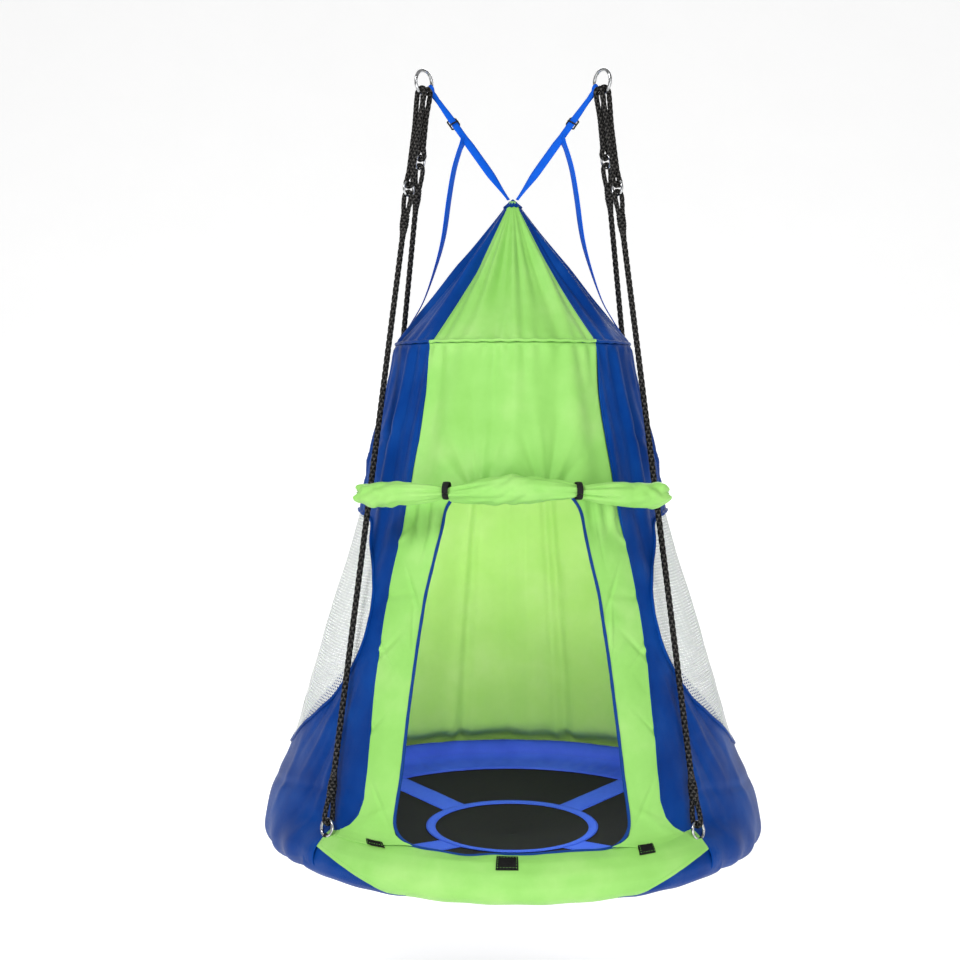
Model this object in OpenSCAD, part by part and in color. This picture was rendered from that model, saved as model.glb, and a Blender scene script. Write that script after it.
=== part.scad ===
// Saucer nest swing with a cone-roofed play tent.
// Origin: midway between the centres of the two hanging rings.
// +X to the right ring, +Z up, the doorway faces -Y. Millimetres.

/* [Hanging] */
// Spacing between the hanging ring centres
hang_gap = 360; // [352:2:368]
// Outer diameter of a hanging ring
hang_ring_d = 55; // [55:0.5:56]
// Wire of a hanging ring
hang_wire = 7; // [6.5:0.5:7]

/* [Ropes] */
// Long rope diameter
rope_d = 11; // [9:0.5:12]
// Upper sling rope diameter
sling_d = 9; // [8:0.5:9]

/* [Saucer] */
// Centreline radius of the frame tube
saucer_r = 475; // [474:0.5:476]
// Drop from the hanging rings to the frame tube
saucer_drop = 1485; // [1484:0.5:1486]
// Frame tube diameter
tube_d = 32; // [30:1:32]
// Width of the four webbing straps on the mat
cross_w = 60; // [40:2:70]

/* [Tent] */
// Thickness of the tent panels
cloth_t = 2; // [1.5:0.25:2.5]
// Half angle of the lime front and rear panels
green_half = 40; // [38:1:42]
// Half angle of the doorway
door_half = 27.5; // [24:0.5:30]
// Half width of the window mesh
window_hw = 225; // [180:5:235]
// Half height of the window mesh
window_hh = 235; // [180:5:240]
// Radius of the rolled door flap
roll_r = 28; // [24:1:30]

/* [Hidden] */
lime = [0.62, 0.90, 0.42];
royal = [0.05, 0.34, 0.80];
deep = [0.08, 0.27, 0.58];
black = [0.10, 0.10, 0.11];
steel = [0.78, 0.79, 0.80];
mesh_c = [0.90, 0.91, 0.90];
big = 96;
small = 32;
gap_a = 0.2;
z_f = -saucer_drop;
hang_R = hang_ring_d / 2 - hang_wire / 2;
// The ring is turned so its hole looks 52 degrees away from the front.
w_l = [0.616, 0.788, 0];
link_R = 14;
link_w = 5;
frame_R = 16;
frame_w = 6;
anchor_a = 46;
eye_up = 36;
rim_out = 24.5;
strap_w = 20;

// Tent outline, radius and height, from the shoulder down to the hem
wall = [[234, -530], [258, -640], [286, -723], [301, -805], [310, -871], [347, -1000], [380, -1110], [420, -1256], [442, -1348], [456, -1434]];

function unit(v) = v / norm(v);
function wall_r(z, i = 0) = i >= len(wall) - 2 || z > wall[i + 1][1]
  ? wall[i][0] + (wall[i + 1][0] - wall[i][0]) * (z - wall[i][1]) / (wall[i + 1][1] - wall[i][1])
  : wall_r(z, i + 1);

// Local frame: +Z runs along dir, +Y is as near as it can be to nrm.
module frame_at(p, dir, nrm) {
  z = unit(dir);
  x = unit(cross(nrm, z));
  y = cross(z, x);
  multmatrix([[x[0], y[0], z[0], p[0]], [x[1], y[1], z[1], p[1]], [x[2], y[2], z[2], p[2]], [0, 0, 0, 1]]) children();
}
module ring(R, d) { rotate_extrude($fn = 48) translate([R, 0]) circle(d = d, $fn = 24); }
module bight(s, d) { rotate([90, 0, 0]) rotate_extrude(angle = 180, $fn = 36) translate([s / 2, 0]) circle(d = d, $fn = 20); }
// Endless rope loop in the local XZ plane, from z = 0 down to -h
module rope_loop(h, s, d) {
  bight(s, d);
  for (k = [-1, 1]) translate([k * s / 2, 0, -h]) cylinder(d = d, h = h, $fn = 20);
  translate([0, 0, -h]) rotate([180, 0, 0]) bight(s, d);
}

// Route of one corner: top bight on the hanging ring, link ring, frame ring.
// left side; sy is -1 at the front and 1 at the rear
function phi(sy) = sy < 0 ? -23 : 19;
function top_pt(sy) = [-hang_gap / 2, 0, 0] + hang_R * [sin(phi(sy)) * w_l[0], sin(phi(sy)) * w_l[1], -cos(phi(sy))];
function top_tan(sy) = [cos(phi(sy)) * w_l[0], cos(phi(sy)) * w_l[1], sin(phi(sy))];
function anchor(sy, up) = [-saucer_r * sin(anchor_a), sy * saucer_r * cos(anchor_a), z_f + up];
function ring_c(sy) = anchor(sy, eye_up + 2.5 + frame_R);
function updir(sy) = unit(top_pt(sy) - ring_c(sy));
function link_pt(sy) = top_pt(sy) - updir(sy) * (sy < 0 ? 205 : 135);
function tangent(sy) = [cos(anchor_a), sy * sin(anchor_a), 0];

module hang_ring(side) {
  color(steel) translate([side * hang_gap / 2, 0, 0])
    multmatrix([[side * -w_l[0], 0, w_l[1], 0], [w_l[1], 0, side * w_l[0], 0], [0, 1, 0, 0], [0, 0, 0, 1]])
      ring(hang_R, hang_wire);
}
module sling(sy) {
  s = 18;
  len_c = (sy < 0 ? 205 : 135) - link_R;
  color(black) frame_at(top_pt(sy) + updir(sy) * 1.5, updir(sy), top_tan(sy))
    rope_loop(len_c + 1.5 - 1, s, sling_d);
}
module link(sy) {
  frame_at(link_pt(sy), updir(sy), top_tan(sy)) rotate([0, 90, 0]) ring(link_R, link_w);
}
module long_rope(sy) {
  q = link_pt(sy) - updir(sy) * (link_R + 1);
  p = ring_c(sy) + updir(sy) * (frame_R + 1);
  L = norm(q - p);
  s = 18;
  color(black) {
    frame_at(q, updir(sy), top_tan(sy)) {
      bight(s, sling_d);
      for (k = [-1, 1]) translate([k * s / 2, 0, -22]) cylinder(d = sling_d, h = 22, $fn = 20);
      translate([0, 0, -85]) cylinder(r1 = rope_d / 2 - 0.8, r2 = 14.2, h = 66, $fn = 24);
    }
    frame_at(p, updir(sy), tangent(sy)) {
      rotate([180, 0, 0]) bight(s, sling_d);
      for (k = [-1, 1]) translate([k * s / 2, 0, 0]) cylinder(d = sling_d, h = 22, $fn = 20);
      translate([0, 0, 19]) cylinder(r1 = 14.2, r2 = rope_d / 2 - 0.8, h = 66, $fn = 24);
      translate([0, 0, 60]) cylinder(d = rope_d, h = L - 60 - 60, $fn = 24);
    }
  }
}
module both(sy) { children(); mirror([1, 0, 0]) children(); }

module link_rings() { color(steel) for (sy = [-1, 1]) both(sy) link(sy); }
module frame_rings() {
  color(steel) for (sy = [-1, 1]) both(sy)
    frame_at(ring_c(sy), updir(sy), tangent(sy)) rotate([90, 0, 90]) ring(frame_R, frame_w);
}
module anchor_loop(sy) {
  // The eye sits round the lowest point of the frame ring, which leans with the rope
  e = ring_c(sy) - updir(sy) * frame_R - anchor(sy, 0);
  ex = e * cross(tangent(sy), [0, 0, 1]);
  frame_at(anchor(sy, 0), [0, 0, 1], tangent(sy)) rotate([90, 0, 0]) difference() {
    union() {
      cylinder(r = rim_out + 3.3, h = 26, center = true, $fn = big);
      translate([ex, e[2], 0]) cylinder(r = 8.5, h = 11, center = true, $fn = small);
      translate([ex / 2 - 6, 20, -5.5]) cube([12, e[2] - 26.5, 11]);
    }
    cylinder(r = rim_out + 1, h = 40, center = true, $fn = big);
    translate([ex, e[2], 0]) cylinder(r = 6, h = 40, center = true, $fn = small);
  }
}
module anchor_loops() { color(black) for (sy = [-1, 1]) both(sy) anchor_loop(sy); }

// Ring-shaped bodies round the saucer rim
module rim_arc(a0, a1, ro, ri) {
  translate([0, 0, z_f]) rotate([0, 0, a0]) rotate_extrude(angle = a1 - a0, $fn = big) translate([saucer_r, 0]) difference() {
    circle(r = ro, $fn = 48);
    if (ri > 0) circle(r = ri, $fn = 48);
  }
}
function screw_az() = [for (s = [0, 180], k = [-3, 3]) s + k];
module screw_holes(r) {
  for (a = screw_az()) rotate([0, 0, a]) translate([saucer_r, 0, z_f - tube_d / 2 - 3]) cylinder(r = r, h = 16, $fn = small);
}
module frame_half(a0) { color(steel) difference() { rim_arc(a0 + 0.05, a0 + 179.95, tube_d / 2, tube_d / 2 - 2); screw_holes(2.7); } }
module tube_joiners() { color(steel) difference() { for (a = [0, 180]) rim_arc(a - 6, a + 6, tube_d / 2 - 2.3, tube_d / 2 - 4.3); screw_holes(2.7); } }
module frame_screws() {
  color(black) for (a = screw_az()) rotate([0, 0, a]) translate([saucer_r, 0, z_f - tube_d / 2]) {
    translate([0, 0, -2]) cylinder(r = 4, h = 1.7, $fn = small);
    translate([0, 0, -1]) cylinder(r = 2.4, h = 8, $fn = small);
  }
}
module foam_sleeves() {
  color([0.3, 0.3, 0.32]) difference() {
    for (a = [0:90:270]) rim_arc(a + 0.1, a + 89.9, rim_out - 2.5, tube_d / 2 + 0.5);
    for (a = screw_az()) rotate([0, 0, a]) translate([saucer_r, 0, z_f - tube_d / 2 - 2.6]) cylinder(r = 5, h = 6, $fn = small);
  }
}
mat_r = saucer_r - rim_out - 0.6;
mat_z0 = z_f - 58;
mat_z1 = z_f - 14;
function mat_z(r) = mat_z0 + (mat_z1 - mat_z0) * r / mat_r;
// Fabric cover of the rim, with its inner flap lying on the mat, slotted for the anchor loops
module rim_cover() {
  color(royal) {
    translate([0, 0, z_f]) rotate_extrude($fn = big) translate([saucer_r, 0]) difference() { circle(r = rim_out, $fn = 48); circle(r = rim_out - 2, $fn = 48); }
    difference() {
      rotate_extrude($fn = big)
        polygon([[386, mat_z(386) + 0.4], [mat_r + 5.2, mat_z(mat_r + 5.2) + 0.4], [mat_r + 5.2, mat_z(mat_r + 5.2) + 2.4], [386, mat_z(386) + 2.4]]);
      for (sy = [-1, 1]) both(sy) frame_at(anchor(sy, 0), [0, 0, 1], tangent(sy)) rotate([90, 0, 0]) cylinder(r = rim_out + 5.6, h = 28, center = true, $fn = big);
    }
  }
}
module seat_mat() { color(black) rotate_extrude($fn = big) polygon([[0, mat_z0], [mat_r, mat_z1], [mat_r, mat_z1 - 3], [0, mat_z0 - 3]]); }
module accent_ring() {
  r0 = 160; r1 = 178;
  color(royal) rotate_extrude($fn = big) polygon([[r0, mat_z(r0) + 0.2], [r1, mat_z(r1) + 0.2], [r1, mat_z(r1) + 1.6], [r0, mat_z(r0) + 1.6]]);
}
module cross_straps() {
  r0 = 181; r1 = 384;
  color(royal) for (a = [45:90:315]) rotate([0, 0, a]) translate([0, cross_w / 2, 0]) rotate([90, 0, 0])
    linear_extrude(height = cross_w) polygon([[r0, mat_z(r0) + 0.5], [r1, mat_z(r1) + 0.5], [r1, mat_z(r1) + 2], [r0, mat_z(r0) + 2]]);
}

// Sector of a revolved shell; az is measured from -Y towards +X
module sector(az0, az1) { rotate([0, 0, az0 - 90]) rotate_extrude(angle = az1 - az0, $fn = big) children(); }
module shell_profile(z0, z1) {
  inner = [for (p = wall) if (p[1] < z0 && p[1] > z1) p];
  pts = concat([[wall_r(z0), z0]], inner, [[wall_r(z1), z1]]);
  polygon(concat(pts, [for (i = [len(pts) - 1:-1:0]) pts[i] - [cloth_t, 0]]));
}
module roof_profile() { polygon([[20, -247], [234, -528], [234 - cloth_t * 1.3, -528], [20, -247 - cloth_t * 1.3]]); }
module roof(az0, az1) { sector(az0 + gap_a, az1 - gap_a) roof_profile(); }
module wall_panel(az0, az1, z0, z1) { sector(az0 + gap_a, az1 - gap_a) shell_profile(z0, z1); }
door_top = -806;
hem = -1434;
module window_prism(sx, hw, hh) {
  rotate([90, 0, 90]) translate([0, -1108, sx > 0 ? 0 : -600]) linear_extrude(height = 600)
    polygon([for (i = [0:35]) [hw * cos(i * 10), hh * sin(i * 10)]]);
}
module side_panel(sx) {
  c = sx > 0 ? 90 : -90;
  color(deep) difference() {
    wall_panel(c - 90 + green_half, c + 90 - green_half, -530, hem);
    window_prism(sx, window_hw, window_hh);
  }
}
module window_net(sx) {
  c = sx > 0 ? 90 : -90;
  color(mesh_c) intersection() {
    wall_panel(c - 60, c + 60, -700, -1400);
    window_prism(sx, window_hw - 0.6, window_hh - 0.6);
  }
}
module door_trim() {
  color(deep) for (k = [-1, 1]) sector(k > 0 ? door_half - 0.9 : -door_half + 0.1, k > 0 ? door_half - 0.1 : -door_half + 0.9) shell_profile(door_top - 4, hem);
}
module apron_profile() {
  polygon([[453, z_f + 48], [478, z_f + 39], [495, z_f + 24], [503.5, z_f + 3], [499, z_f - 17], [484, z_f - 27.5],
    [484, z_f - 30], [501, z_f - 18.5], [506, z_f + 3.5], [497, z_f + 26], [479, z_f + 41.5], [453, z_f + 50.5]]);
}
module skirt_profile() {
  polygon([[457, z_f + 46], [482, z_f + 36], [500, z_f + 20], [503.5, z_f - 3], [497, z_f - 24], [480, z_f - 34],
    [480, z_f - 36.5], [499, z_f - 26], [506, z_f - 3], [502, z_f + 22], [483, z_f + 38.5], [457, z_f + 48.5]]);
}
module front_apron() { color(lime) sector(-42.5, 42.5) apron_profile(); }
module rear_apron() { color(lime) sector(137.5, 222.5) apron_profile(); }
module side_skirt(sx) { color(deep) sector(sx > 0 ? 49.5 : -130.5, sx > 0 ? 130.5 : -49.5) skirt_profile(); }
patch_az = [-30, -1, 29];
patch_w = [3.4, 4.4, 3.6];
module hook_patches() {
  color(black) for (i = [0:2]) sector(patch_az[i] - patch_w[i] / 2, patch_az[i] + patch_w[i] / 2)
    polygon([[458, z_f + 49.2], [477, z_f + 42.6], [477, z_f + 44.2], [458, z_f + 50.8]]);
}
module apex_patch() { color(deep) translate([0, 0, -246]) cylinder(r = 19, h = 4, $fn = small); }
module shoulder_hoop() { color(black) translate([0, 0, -536]) ring(224, 5); }

// Rolled door flap, an arc that follows the tent
roll_y = -344;
roll_R = 600;
roll_z = -815;
module door_roll() {
  color(lime) translate([0, roll_y + roll_R, roll_z]) rotate([0, 0, -118.2]) rotate_extrude(angle = 56.4, $fn = big)
    translate([roll_R, 0]) difference() { circle(r = roll_r, $fn = 36); circle(r = roll_r - 4, $fn = 36); }
}
module roll_ties() {
  color(black) translate([0, roll_y + roll_R, roll_z]) for (a = [-101.5, -78.5]) rotate([0, 0, a - 0.7]) rotate_extrude(angle = 1.4, $fn = big)
    translate([roll_R, 0]) difference() { circle(r = roll_r + 2.2, $fn = 36); circle(r = roll_r + 0.5, $fn = 36); }
}

// Main strap: left side from the hanging ring to the apex patch
st_phi = 58;
st_top = [-hang_gap / 2, 0, 0] + hang_R * [sin(st_phi) * w_l[0], sin(st_phi) * w_l[1], -cos(st_phi)];
st_tan = [cos(st_phi) * w_l[0], cos(st_phi) * w_l[1], sin(st_phi)];
st_end = [-9, 0, -235];
st_dir = unit(st_top - st_end);
st_len = norm(st_top - st_end);
st_nrm = [-0.55, 0.55, 0.3];
module main_strap() {
  color(royal) {
    frame_at(st_top, st_dir, st_tan) rotate([90, 0, 0]) difference() {
      union() { cylinder(r = 10, h = 7, center = true, $fn = small); translate([-3, -30, -3.5]) cube([6, 25, 7]); }
      cylinder(r = 8, h = 20, center = true, $fn = small);
    }
    frame_at(st_end, st_dir, st_nrm) translate([-strap_w / 2, -1, 0]) cube([strap_w, 2, st_len - 22]);
  }
}
glide_at = 0.70;
module tri_glide() {
  bw = strap_w + 10;
  color(black) frame_at(st_end + st_dir * st_len * glide_at, st_dir, st_nrm) {
    for (k = [-1, 1]) translate([k * (strap_w / 2 + 2.6) - 1.6, -4.4, -13]) cube([3.2, 8.8, 26]);
    for (z = [-11.2, 11.2]) translate([-bw / 2 + 2, 1.5, z - 1.8]) cube([bw - 4, 2.9, 3.6]);
    translate([-bw / 2 + 2, -4.4, -1.8]) cube([bw - 4, 2.9, 3.6]);
  }
}
// Slack branch from the main strap to the shoulder: a bent flat band
br = [[-104.5, -121], [-110, -142], [-119, -176], [-129, -231], [-140, -308], [-158, -372], [-184, -440], [-210.7, -494.5], [-228.8, -518.5]];
module branch_strap() {
  n = len(br);
  function nrm2(i) = let (a = br[max(i - 1, 0)], b = br[min(i + 1, n - 1)], d = unit(b - a)) [-d[1], d[0]];
  color(royal) translate([0, 10, 0]) rotate([90, 0, 0]) linear_extrude(height = 20)
    polygon(concat([for (i = [0:n - 1]) br[i] + nrm2(i)], [for (i = [n - 1:-1:0]) br[i] - nrm2(i)]));
}

hang_ring(-1);  // hang_ring_left
hang_ring(1);  // hang_ring_right
sling(-1);  // upper_sling_front_left
mirror([1, 0, 0]) sling(-1);  // upper_sling_front_right
sling(1);  // upper_sling_rear_left
mirror([1, 0, 0]) sling(1);  // upper_sling_rear_right
link_rings();
long_rope(-1);  // rope_front_left
mirror([1, 0, 0]) long_rope(-1);  // rope_front_right
long_rope(1);  // rope_rear_left
mirror([1, 0, 0]) long_rope(1);  // rope_rear_right
frame_rings();
anchor_loops();
frame_half(180);  // frame_tube_front
frame_half(0);  // frame_tube_rear
tube_joiners();
frame_screws();
foam_sleeves();
rim_cover();
seat_mat();
accent_ring();
cross_straps();
apex_patch();
color(lime) roof(-green_half, green_half);  // roof_front
color(lime) roof(180 - green_half, 180 + green_half);  // roof_rear
color(deep) roof(180 + green_half, 360 - green_half);  // roof_left
color(deep) roof(green_half, 180 - green_half);  // roof_right
shoulder_hoop();
color(lime) wall_panel(-green_half, green_half, -530, door_top);  // upper_front_panel
color(lime) wall_panel(-green_half, -door_half, door_top - 0.4, hem);  // front_jamb_left
color(lime) wall_panel(door_half, green_half, door_top - 0.4, hem);  // front_jamb_right
color(lime) wall_panel(180 - green_half, 180 + green_half, -530, hem);  // rear_panel
side_panel(-1);  // side_panel_left
side_panel(1);  // side_panel_right
window_net(-1);  // window_net_left
window_net(1);  // window_net_right
door_trim();
front_apron();
rear_apron();
side_skirt(-1);  // side_skirt_left
side_skirt(1);  // side_skirt_right
door_roll();
roll_ties();
hook_patches();
main_strap();  // main_strap_left
mirror([1, 0, 0]) main_strap();  // main_strap_right
branch_strap();  // branch_strap_left
mirror([1, 0, 0]) branch_strap();  // branch_strap_right
tri_glide();  // tri_glide_left
mirror([1, 0, 0]) tri_glide();  // tri_glide_right
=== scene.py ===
import bpy, math
import numpy as np
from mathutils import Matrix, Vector


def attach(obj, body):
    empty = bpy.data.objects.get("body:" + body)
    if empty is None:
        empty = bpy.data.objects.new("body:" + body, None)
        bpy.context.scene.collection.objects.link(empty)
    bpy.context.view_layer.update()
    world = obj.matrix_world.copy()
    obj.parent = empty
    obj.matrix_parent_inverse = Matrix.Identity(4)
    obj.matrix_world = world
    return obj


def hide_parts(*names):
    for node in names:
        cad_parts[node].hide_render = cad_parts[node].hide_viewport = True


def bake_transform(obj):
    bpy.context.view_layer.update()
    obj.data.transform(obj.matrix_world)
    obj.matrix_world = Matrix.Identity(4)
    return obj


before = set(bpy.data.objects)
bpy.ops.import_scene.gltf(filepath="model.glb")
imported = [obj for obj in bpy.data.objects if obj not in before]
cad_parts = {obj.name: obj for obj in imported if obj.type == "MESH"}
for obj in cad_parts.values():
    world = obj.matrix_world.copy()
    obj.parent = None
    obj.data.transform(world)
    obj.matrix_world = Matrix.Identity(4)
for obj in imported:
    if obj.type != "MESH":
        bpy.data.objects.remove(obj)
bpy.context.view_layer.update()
pi = math.pi
rng = np.random.RandomState(7)


def V(*a):
    return np.array(a, float)


def unit(v):
    v = np.asarray(v, float)
    return v / np.linalg.norm(v)


def sstep(x):
    x = np.clip(x, 0, 1)
    return x * x * (3 - 2 * x)


# ---------------------------------------------------------------- camera
cam_d = bpy.data.cameras.new("cam")
cam = bpy.data.objects.new("cam", cam_d)
bpy.context.scene.collection.objects.link(cam)
F_PX, DIST, CAM_Z = 1400.0, 2.87, -0.641
cam_d.sensor_width = 36.0
cam_d.lens = F_PX / 960 * 36
cam.location = (0, -DIST, CAM_Z)
yaw, pitch = math.atan(32.5 / F_PX), math.atan(80.0 / F_PX)
fwd = Vector((-math.sin(yaw) * math.cos(pitch), math.cos(yaw) * math.cos(pitch), -math.sin(pitch)))
cam.rotation_euler = fwd.to_track_quat("-Z", "Y").to_euler()
cam_d.clip_start = 0.05
cam_d.clip_end = 60
bpy.context.scene.camera = cam


# ---------------------------------------------------------------- materials
def new_mat(name):
    m = bpy.data.materials.new(name)
    m.use_nodes = True
    nt = m.node_tree
    b = nt.nodes["Principled BSDF"]
    return m, nt, b


def link(nt, a, b):
    nt.links.new(a, b)


def noise(nt, co, scale, detail=4.0, rough=0.55):
    n = nt.nodes.new("ShaderNodeTexNoise")
    n.inputs["Scale"].default_value = scale
    n.inputs["Detail"].default_value = detail
    n.inputs["Roughness"].default_value = rough
    link(nt, co, n.inputs["Vector"])
    return n.outputs["Fac"]


def ramp(nt, fac, stops):
    r = nt.nodes.new("ShaderNodeValToRGB")
    e = r.color_ramp.elements
    while len(e) < len(stops):
        e.new(0.5)
    for i, (p, c) in enumerate(stops):
        e[i].position = p
        e[i].color = (*c, 1)
    link(nt, fac, r.inputs["Fac"])
    return r.outputs["Color"]


def math_n(nt, op, a, b=None):
    n = nt.nodes.new("ShaderNodeMath")
    n.operation = op
    for i, v in enumerate([a, b]):
        if v is None:
            continue
        if isinstance(v, (int, float)):
            n.inputs[i].default_value = v
        else:
            link(nt, v, n.inputs[i])
    return n.outputs[0]


def bump(nt, bsdf, h, strength, dist):
    b = nt.nodes.new("ShaderNodeBump")
    b.inputs["Strength"].default_value = strength
    b.inputs["Distance"].default_value = dist
    link(nt, h, b.inputs["Height"])
    link(nt, b.outputs["Normal"], bsdf.inputs["Normal"])


def cloth_mat(name, base, lo, hi, rough=0.5, sheen=0.03, weave=700.0, wr=0.35, wrd=0.0012, spec=0.22, tint=(1, 1, 1)):
    """Coated tent cloth: fine plain weave from the UVs, soft creases, blotchy tone whose lighter patches are partly
    painted sheen.
    """
    m, nt, b = new_mat(name)
    tc = nt.nodes.new("ShaderNodeTexCoord")
    co = tc.outputs["Object"]
    # Large blotches: partly the cloth's own uneven tone, partly painted sheen in the lighter patches.
    tone_and_sheen_blotches = noise(nt, co, 9.0, 5.0)
    col = ramp(nt, tone_and_sheen_blotches, [(0.30, lo), (0.5, base), (0.72, hi)])
    link(nt, col, b.inputs["Base Color"])
    sep = nt.nodes.new("ShaderNodeSeparateXYZ")
    link(nt, tc.outputs["UV"], sep.inputs[0])
    wx = math_n(nt, "SINE", math_n(nt, "MULTIPLY", sep.outputs[0], weave * 2 * pi))
    wy = math_n(nt, "SINE", math_n(nt, "MULTIPLY", sep.outputs[1], weave * 2 * pi))
    wv = math_n(nt, "MULTIPLY", math_n(nt, "MULTIPLY", wx, wy), 0.10)
    cr = noise(nt, co, 38.0, 6.0, 0.6)
    cr2 = noise(nt, co, 14.0, 3.0, 0.5)
    h = math_n(nt, "ADD", math_n(nt, "ADD", wv, cr), math_n(nt, "MULTIPLY", cr2, 1.6))
    bump(nt, b, h, wr, wrd * 3)
    rr = nt.nodes.new("ShaderNodeMapRange")
    rr.inputs["To Min"].default_value = rough - 0.07
    rr.inputs["To Max"].default_value = rough + 0.10
    link(nt, cr2, rr.inputs["Value"])
    link(nt, rr.outputs[0], b.inputs["Roughness"])
    b.inputs["Sheen Weight"].default_value = sheen
    b.inputs["Sheen Roughness"].default_value = 0.4
    b.inputs["Specular IOR Level"].default_value = spec
    b.inputs["Specular Tint"].default_value = (*tint, 1)
    return m


def web_mat(name, base, dark, rib=520.0, rough=0.6):
    """Woven webbing: ribs across, herringbone along, from the UVs in metres."""
    m, nt, b = new_mat(name)
    tc = nt.nodes.new("ShaderNodeTexCoord")
    sep = nt.nodes.new("ShaderNodeSeparateXYZ")
    link(nt, tc.outputs["UV"], sep.inputs[0])
    u = math_n(nt, "SINE", math_n(nt, "MULTIPLY", sep.outputs[0], rib * 2 * pi))
    v = math_n(nt, "SINE", math_n(nt, "MULTIPLY", sep.outputs[1], rib * 1.3 * pi))
    h = math_n(nt, "ADD", math_n(nt, "MULTIPLY", math_n(nt, "MULTIPLY", u, v), 0.5), 0.5)
    n = noise(nt, tc.outputs["Object"], 120.0, 4.0)
    f = math_n(nt, "ADD", math_n(nt, "MULTIPLY", h, 0.5), math_n(nt, "MULTIPLY", n, 0.5))
    link(nt, ramp(nt, f, [(0.25, dark), (0.65, base)]), b.inputs["Base Color"])
    bump(nt, b, h, 0.5, 0.0006)
    b.inputs["Roughness"].default_value = rough
    b.inputs["Sheen Weight"].default_value = 0.02
    b.inputs["Specular IOR Level"].default_value = 0.12
    return m


def rope_mat():
    """Solid braid: black strands crossing over and under, with pale flecks on the crests painted as highlight and the
    valleys kept darkest as painted shade.
    """
    m, nt, b = new_mat("rope_black")
    tc = nt.nodes.new("ShaderNodeTexCoord")
    sep = nt.nodes.new("ShaderNodeSeparateXYZ")
    link(nt, tc.outputs["UV"], sep.inputs[0])
    u = math_n(nt, "ADD", sep.outputs[0], sep.outputs[1])
    w = math_n(nt, "SUBTRACT", sep.outputs[0], sep.outputs[1])
    cu = math_n(nt, "ABSOLUTE", math_n(nt, "COSINE", math_n(nt, "MULTIPLY", u, pi)))
    cw = math_n(nt, "ABSOLUTE", math_n(nt, "COSINE", math_n(nt, "MULTIPLY", w, pi)))
    sx = math_n(nt, "SINE", math_n(nt, "MULTIPLY", sep.outputs[0], 2 * pi))
    sy_ = math_n(nt, "COSINE", math_n(nt, "MULTIPLY", sep.outputs[1], 2 * pi))
    sel = math_n(nt, "GREATER_THAN", math_n(nt, "MULTIPLY", sx, sy_), 0.0)
    inv = math_n(nt, "SUBTRACT", 1.0, sel)
    # Strand crest height: drives the bump, and in the colour below lights the crests as painted highlight.
    crest_height_and_highlight = math_n(nt, "ADD", math_n(nt, "MULTIPLY", cu, sel), math_n(nt, "MULTIPLY", cw, inv))
    n1 = noise(nt, tc.outputs["Object"], 1100.0, 2.0)
    n2 = noise(nt, tc.outputs["Object"], 300.0, 3.0)
    f = math_n(nt, "MULTIPLY", crest_height_and_highlight, math_n(nt, "ADD", math_n(nt, "MULTIPLY", n1, 0.9), math_n(nt, "MULTIPLY", n2, 0.5)))
    # Colour: pale on the crests as painted highlight, near-black in the valleys as painted shade.
    link(nt, ramp(nt, f, [(0.30, (0.003, 0.003, 0.003)), (0.55, (0.012, 0.012, 0.012)), (0.74, (0.085, 0.08, 0.075))]), b.inputs["Base Color"])
    bump(nt, b, math_n(nt, "ADD", crest_height_and_highlight, math_n(nt, "MULTIPLY", n1, 0.4)), 0.6, 0.0012)
    b.inputs["Roughness"].default_value = 0.6
    b.inputs["Specular IOR Level"].default_value = 0.10
    return m


def metal_mat(name, base, rough, low=0.82):
    m, nt, b = new_mat(name)
    tc = nt.nodes.new("ShaderNodeTexCoord")
    n = noise(nt, tc.outputs["Object"], 160.0, 5.0)
    link(nt, ramp(nt, n, [(0.35, tuple(low * c for c in base)), (0.6, base)]), b.inputs["Base Color"])
    rr = nt.nodes.new("ShaderNodeMapRange")
    rr.inputs["To Min"].default_value = rough * 0.7
    rr.inputs["To Max"].default_value = rough * 1.5
    link(nt, n, rr.inputs["Value"])
    link(nt, rr.outputs[0], b.inputs["Roughness"])
    b.inputs["Metallic"].default_value = 1.0
    return m


def plain_mat(name, base, lo, scale, rough, bs=0.3, bd=0.0008, sheen=0.0, spec=0.2):
    m, nt, b = new_mat(name)
    tc = nt.nodes.new("ShaderNodeTexCoord")
    n = noise(nt, tc.outputs["Object"], scale, 5.0)
    link(nt, ramp(nt, n, [(0.35, lo), (0.65, base)]), b.inputs["Base Color"])
    bump(nt, b, n, bs, bd)
    b.inputs["Roughness"].default_value = rough
    b.inputs["Sheen Weight"].default_value = sheen
    b.inputs["Specular IOR Level"].default_value = spec
    return m


LIME = cloth_mat("tent_lime", (0.300, 0.655, 0.140), (0.265, 0.610, 0.115), (0.375, 0.705, 0.190), rough=0.40, spec=0.30)
# Rear wall: the same lime cloth made lighter and yellower as painted light shining through it.
LIME_BACKLIT = cloth_mat("tent_lime_painted_backlight", (0.395, 0.70, 0.155), (0.365, 0.68, 0.135), (0.44, 0.73, 0.19), rough=0.55)
BLUE = cloth_mat("tent_blue", (0.0015, 0.040, 0.235), (0.0008, 0.028, 0.185), (0.005, 0.060, 0.30), rough=0.44, spec=0.22, sheen=0.0, tint=(0.10, 0.35, 1.0))
RIM = cloth_mat("rim_blue", (0.034, 0.088, 0.56), (0.026, 0.070, 0.48), (0.048, 0.11, 0.63), rough=0.62, weave=420.0, wr=0.3)
MAT = web_mat("mat_black", (0.015, 0.014, 0.015), (0.008, 0.008, 0.008), rib=260.0, rough=0.85)
WEB_B = web_mat("webbing_blue", (0.0, 0.115, 0.72), (0.0, 0.080, 0.55))
WEB_RIM = web_mat("webbing_rim", (0.052, 0.125, 0.66), (0.038, 0.092, 0.54), rib=330.0)
WEB_K = web_mat("webbing_black", (0.016, 0.016, 0.016), (0.006, 0.006, 0.006))
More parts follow.
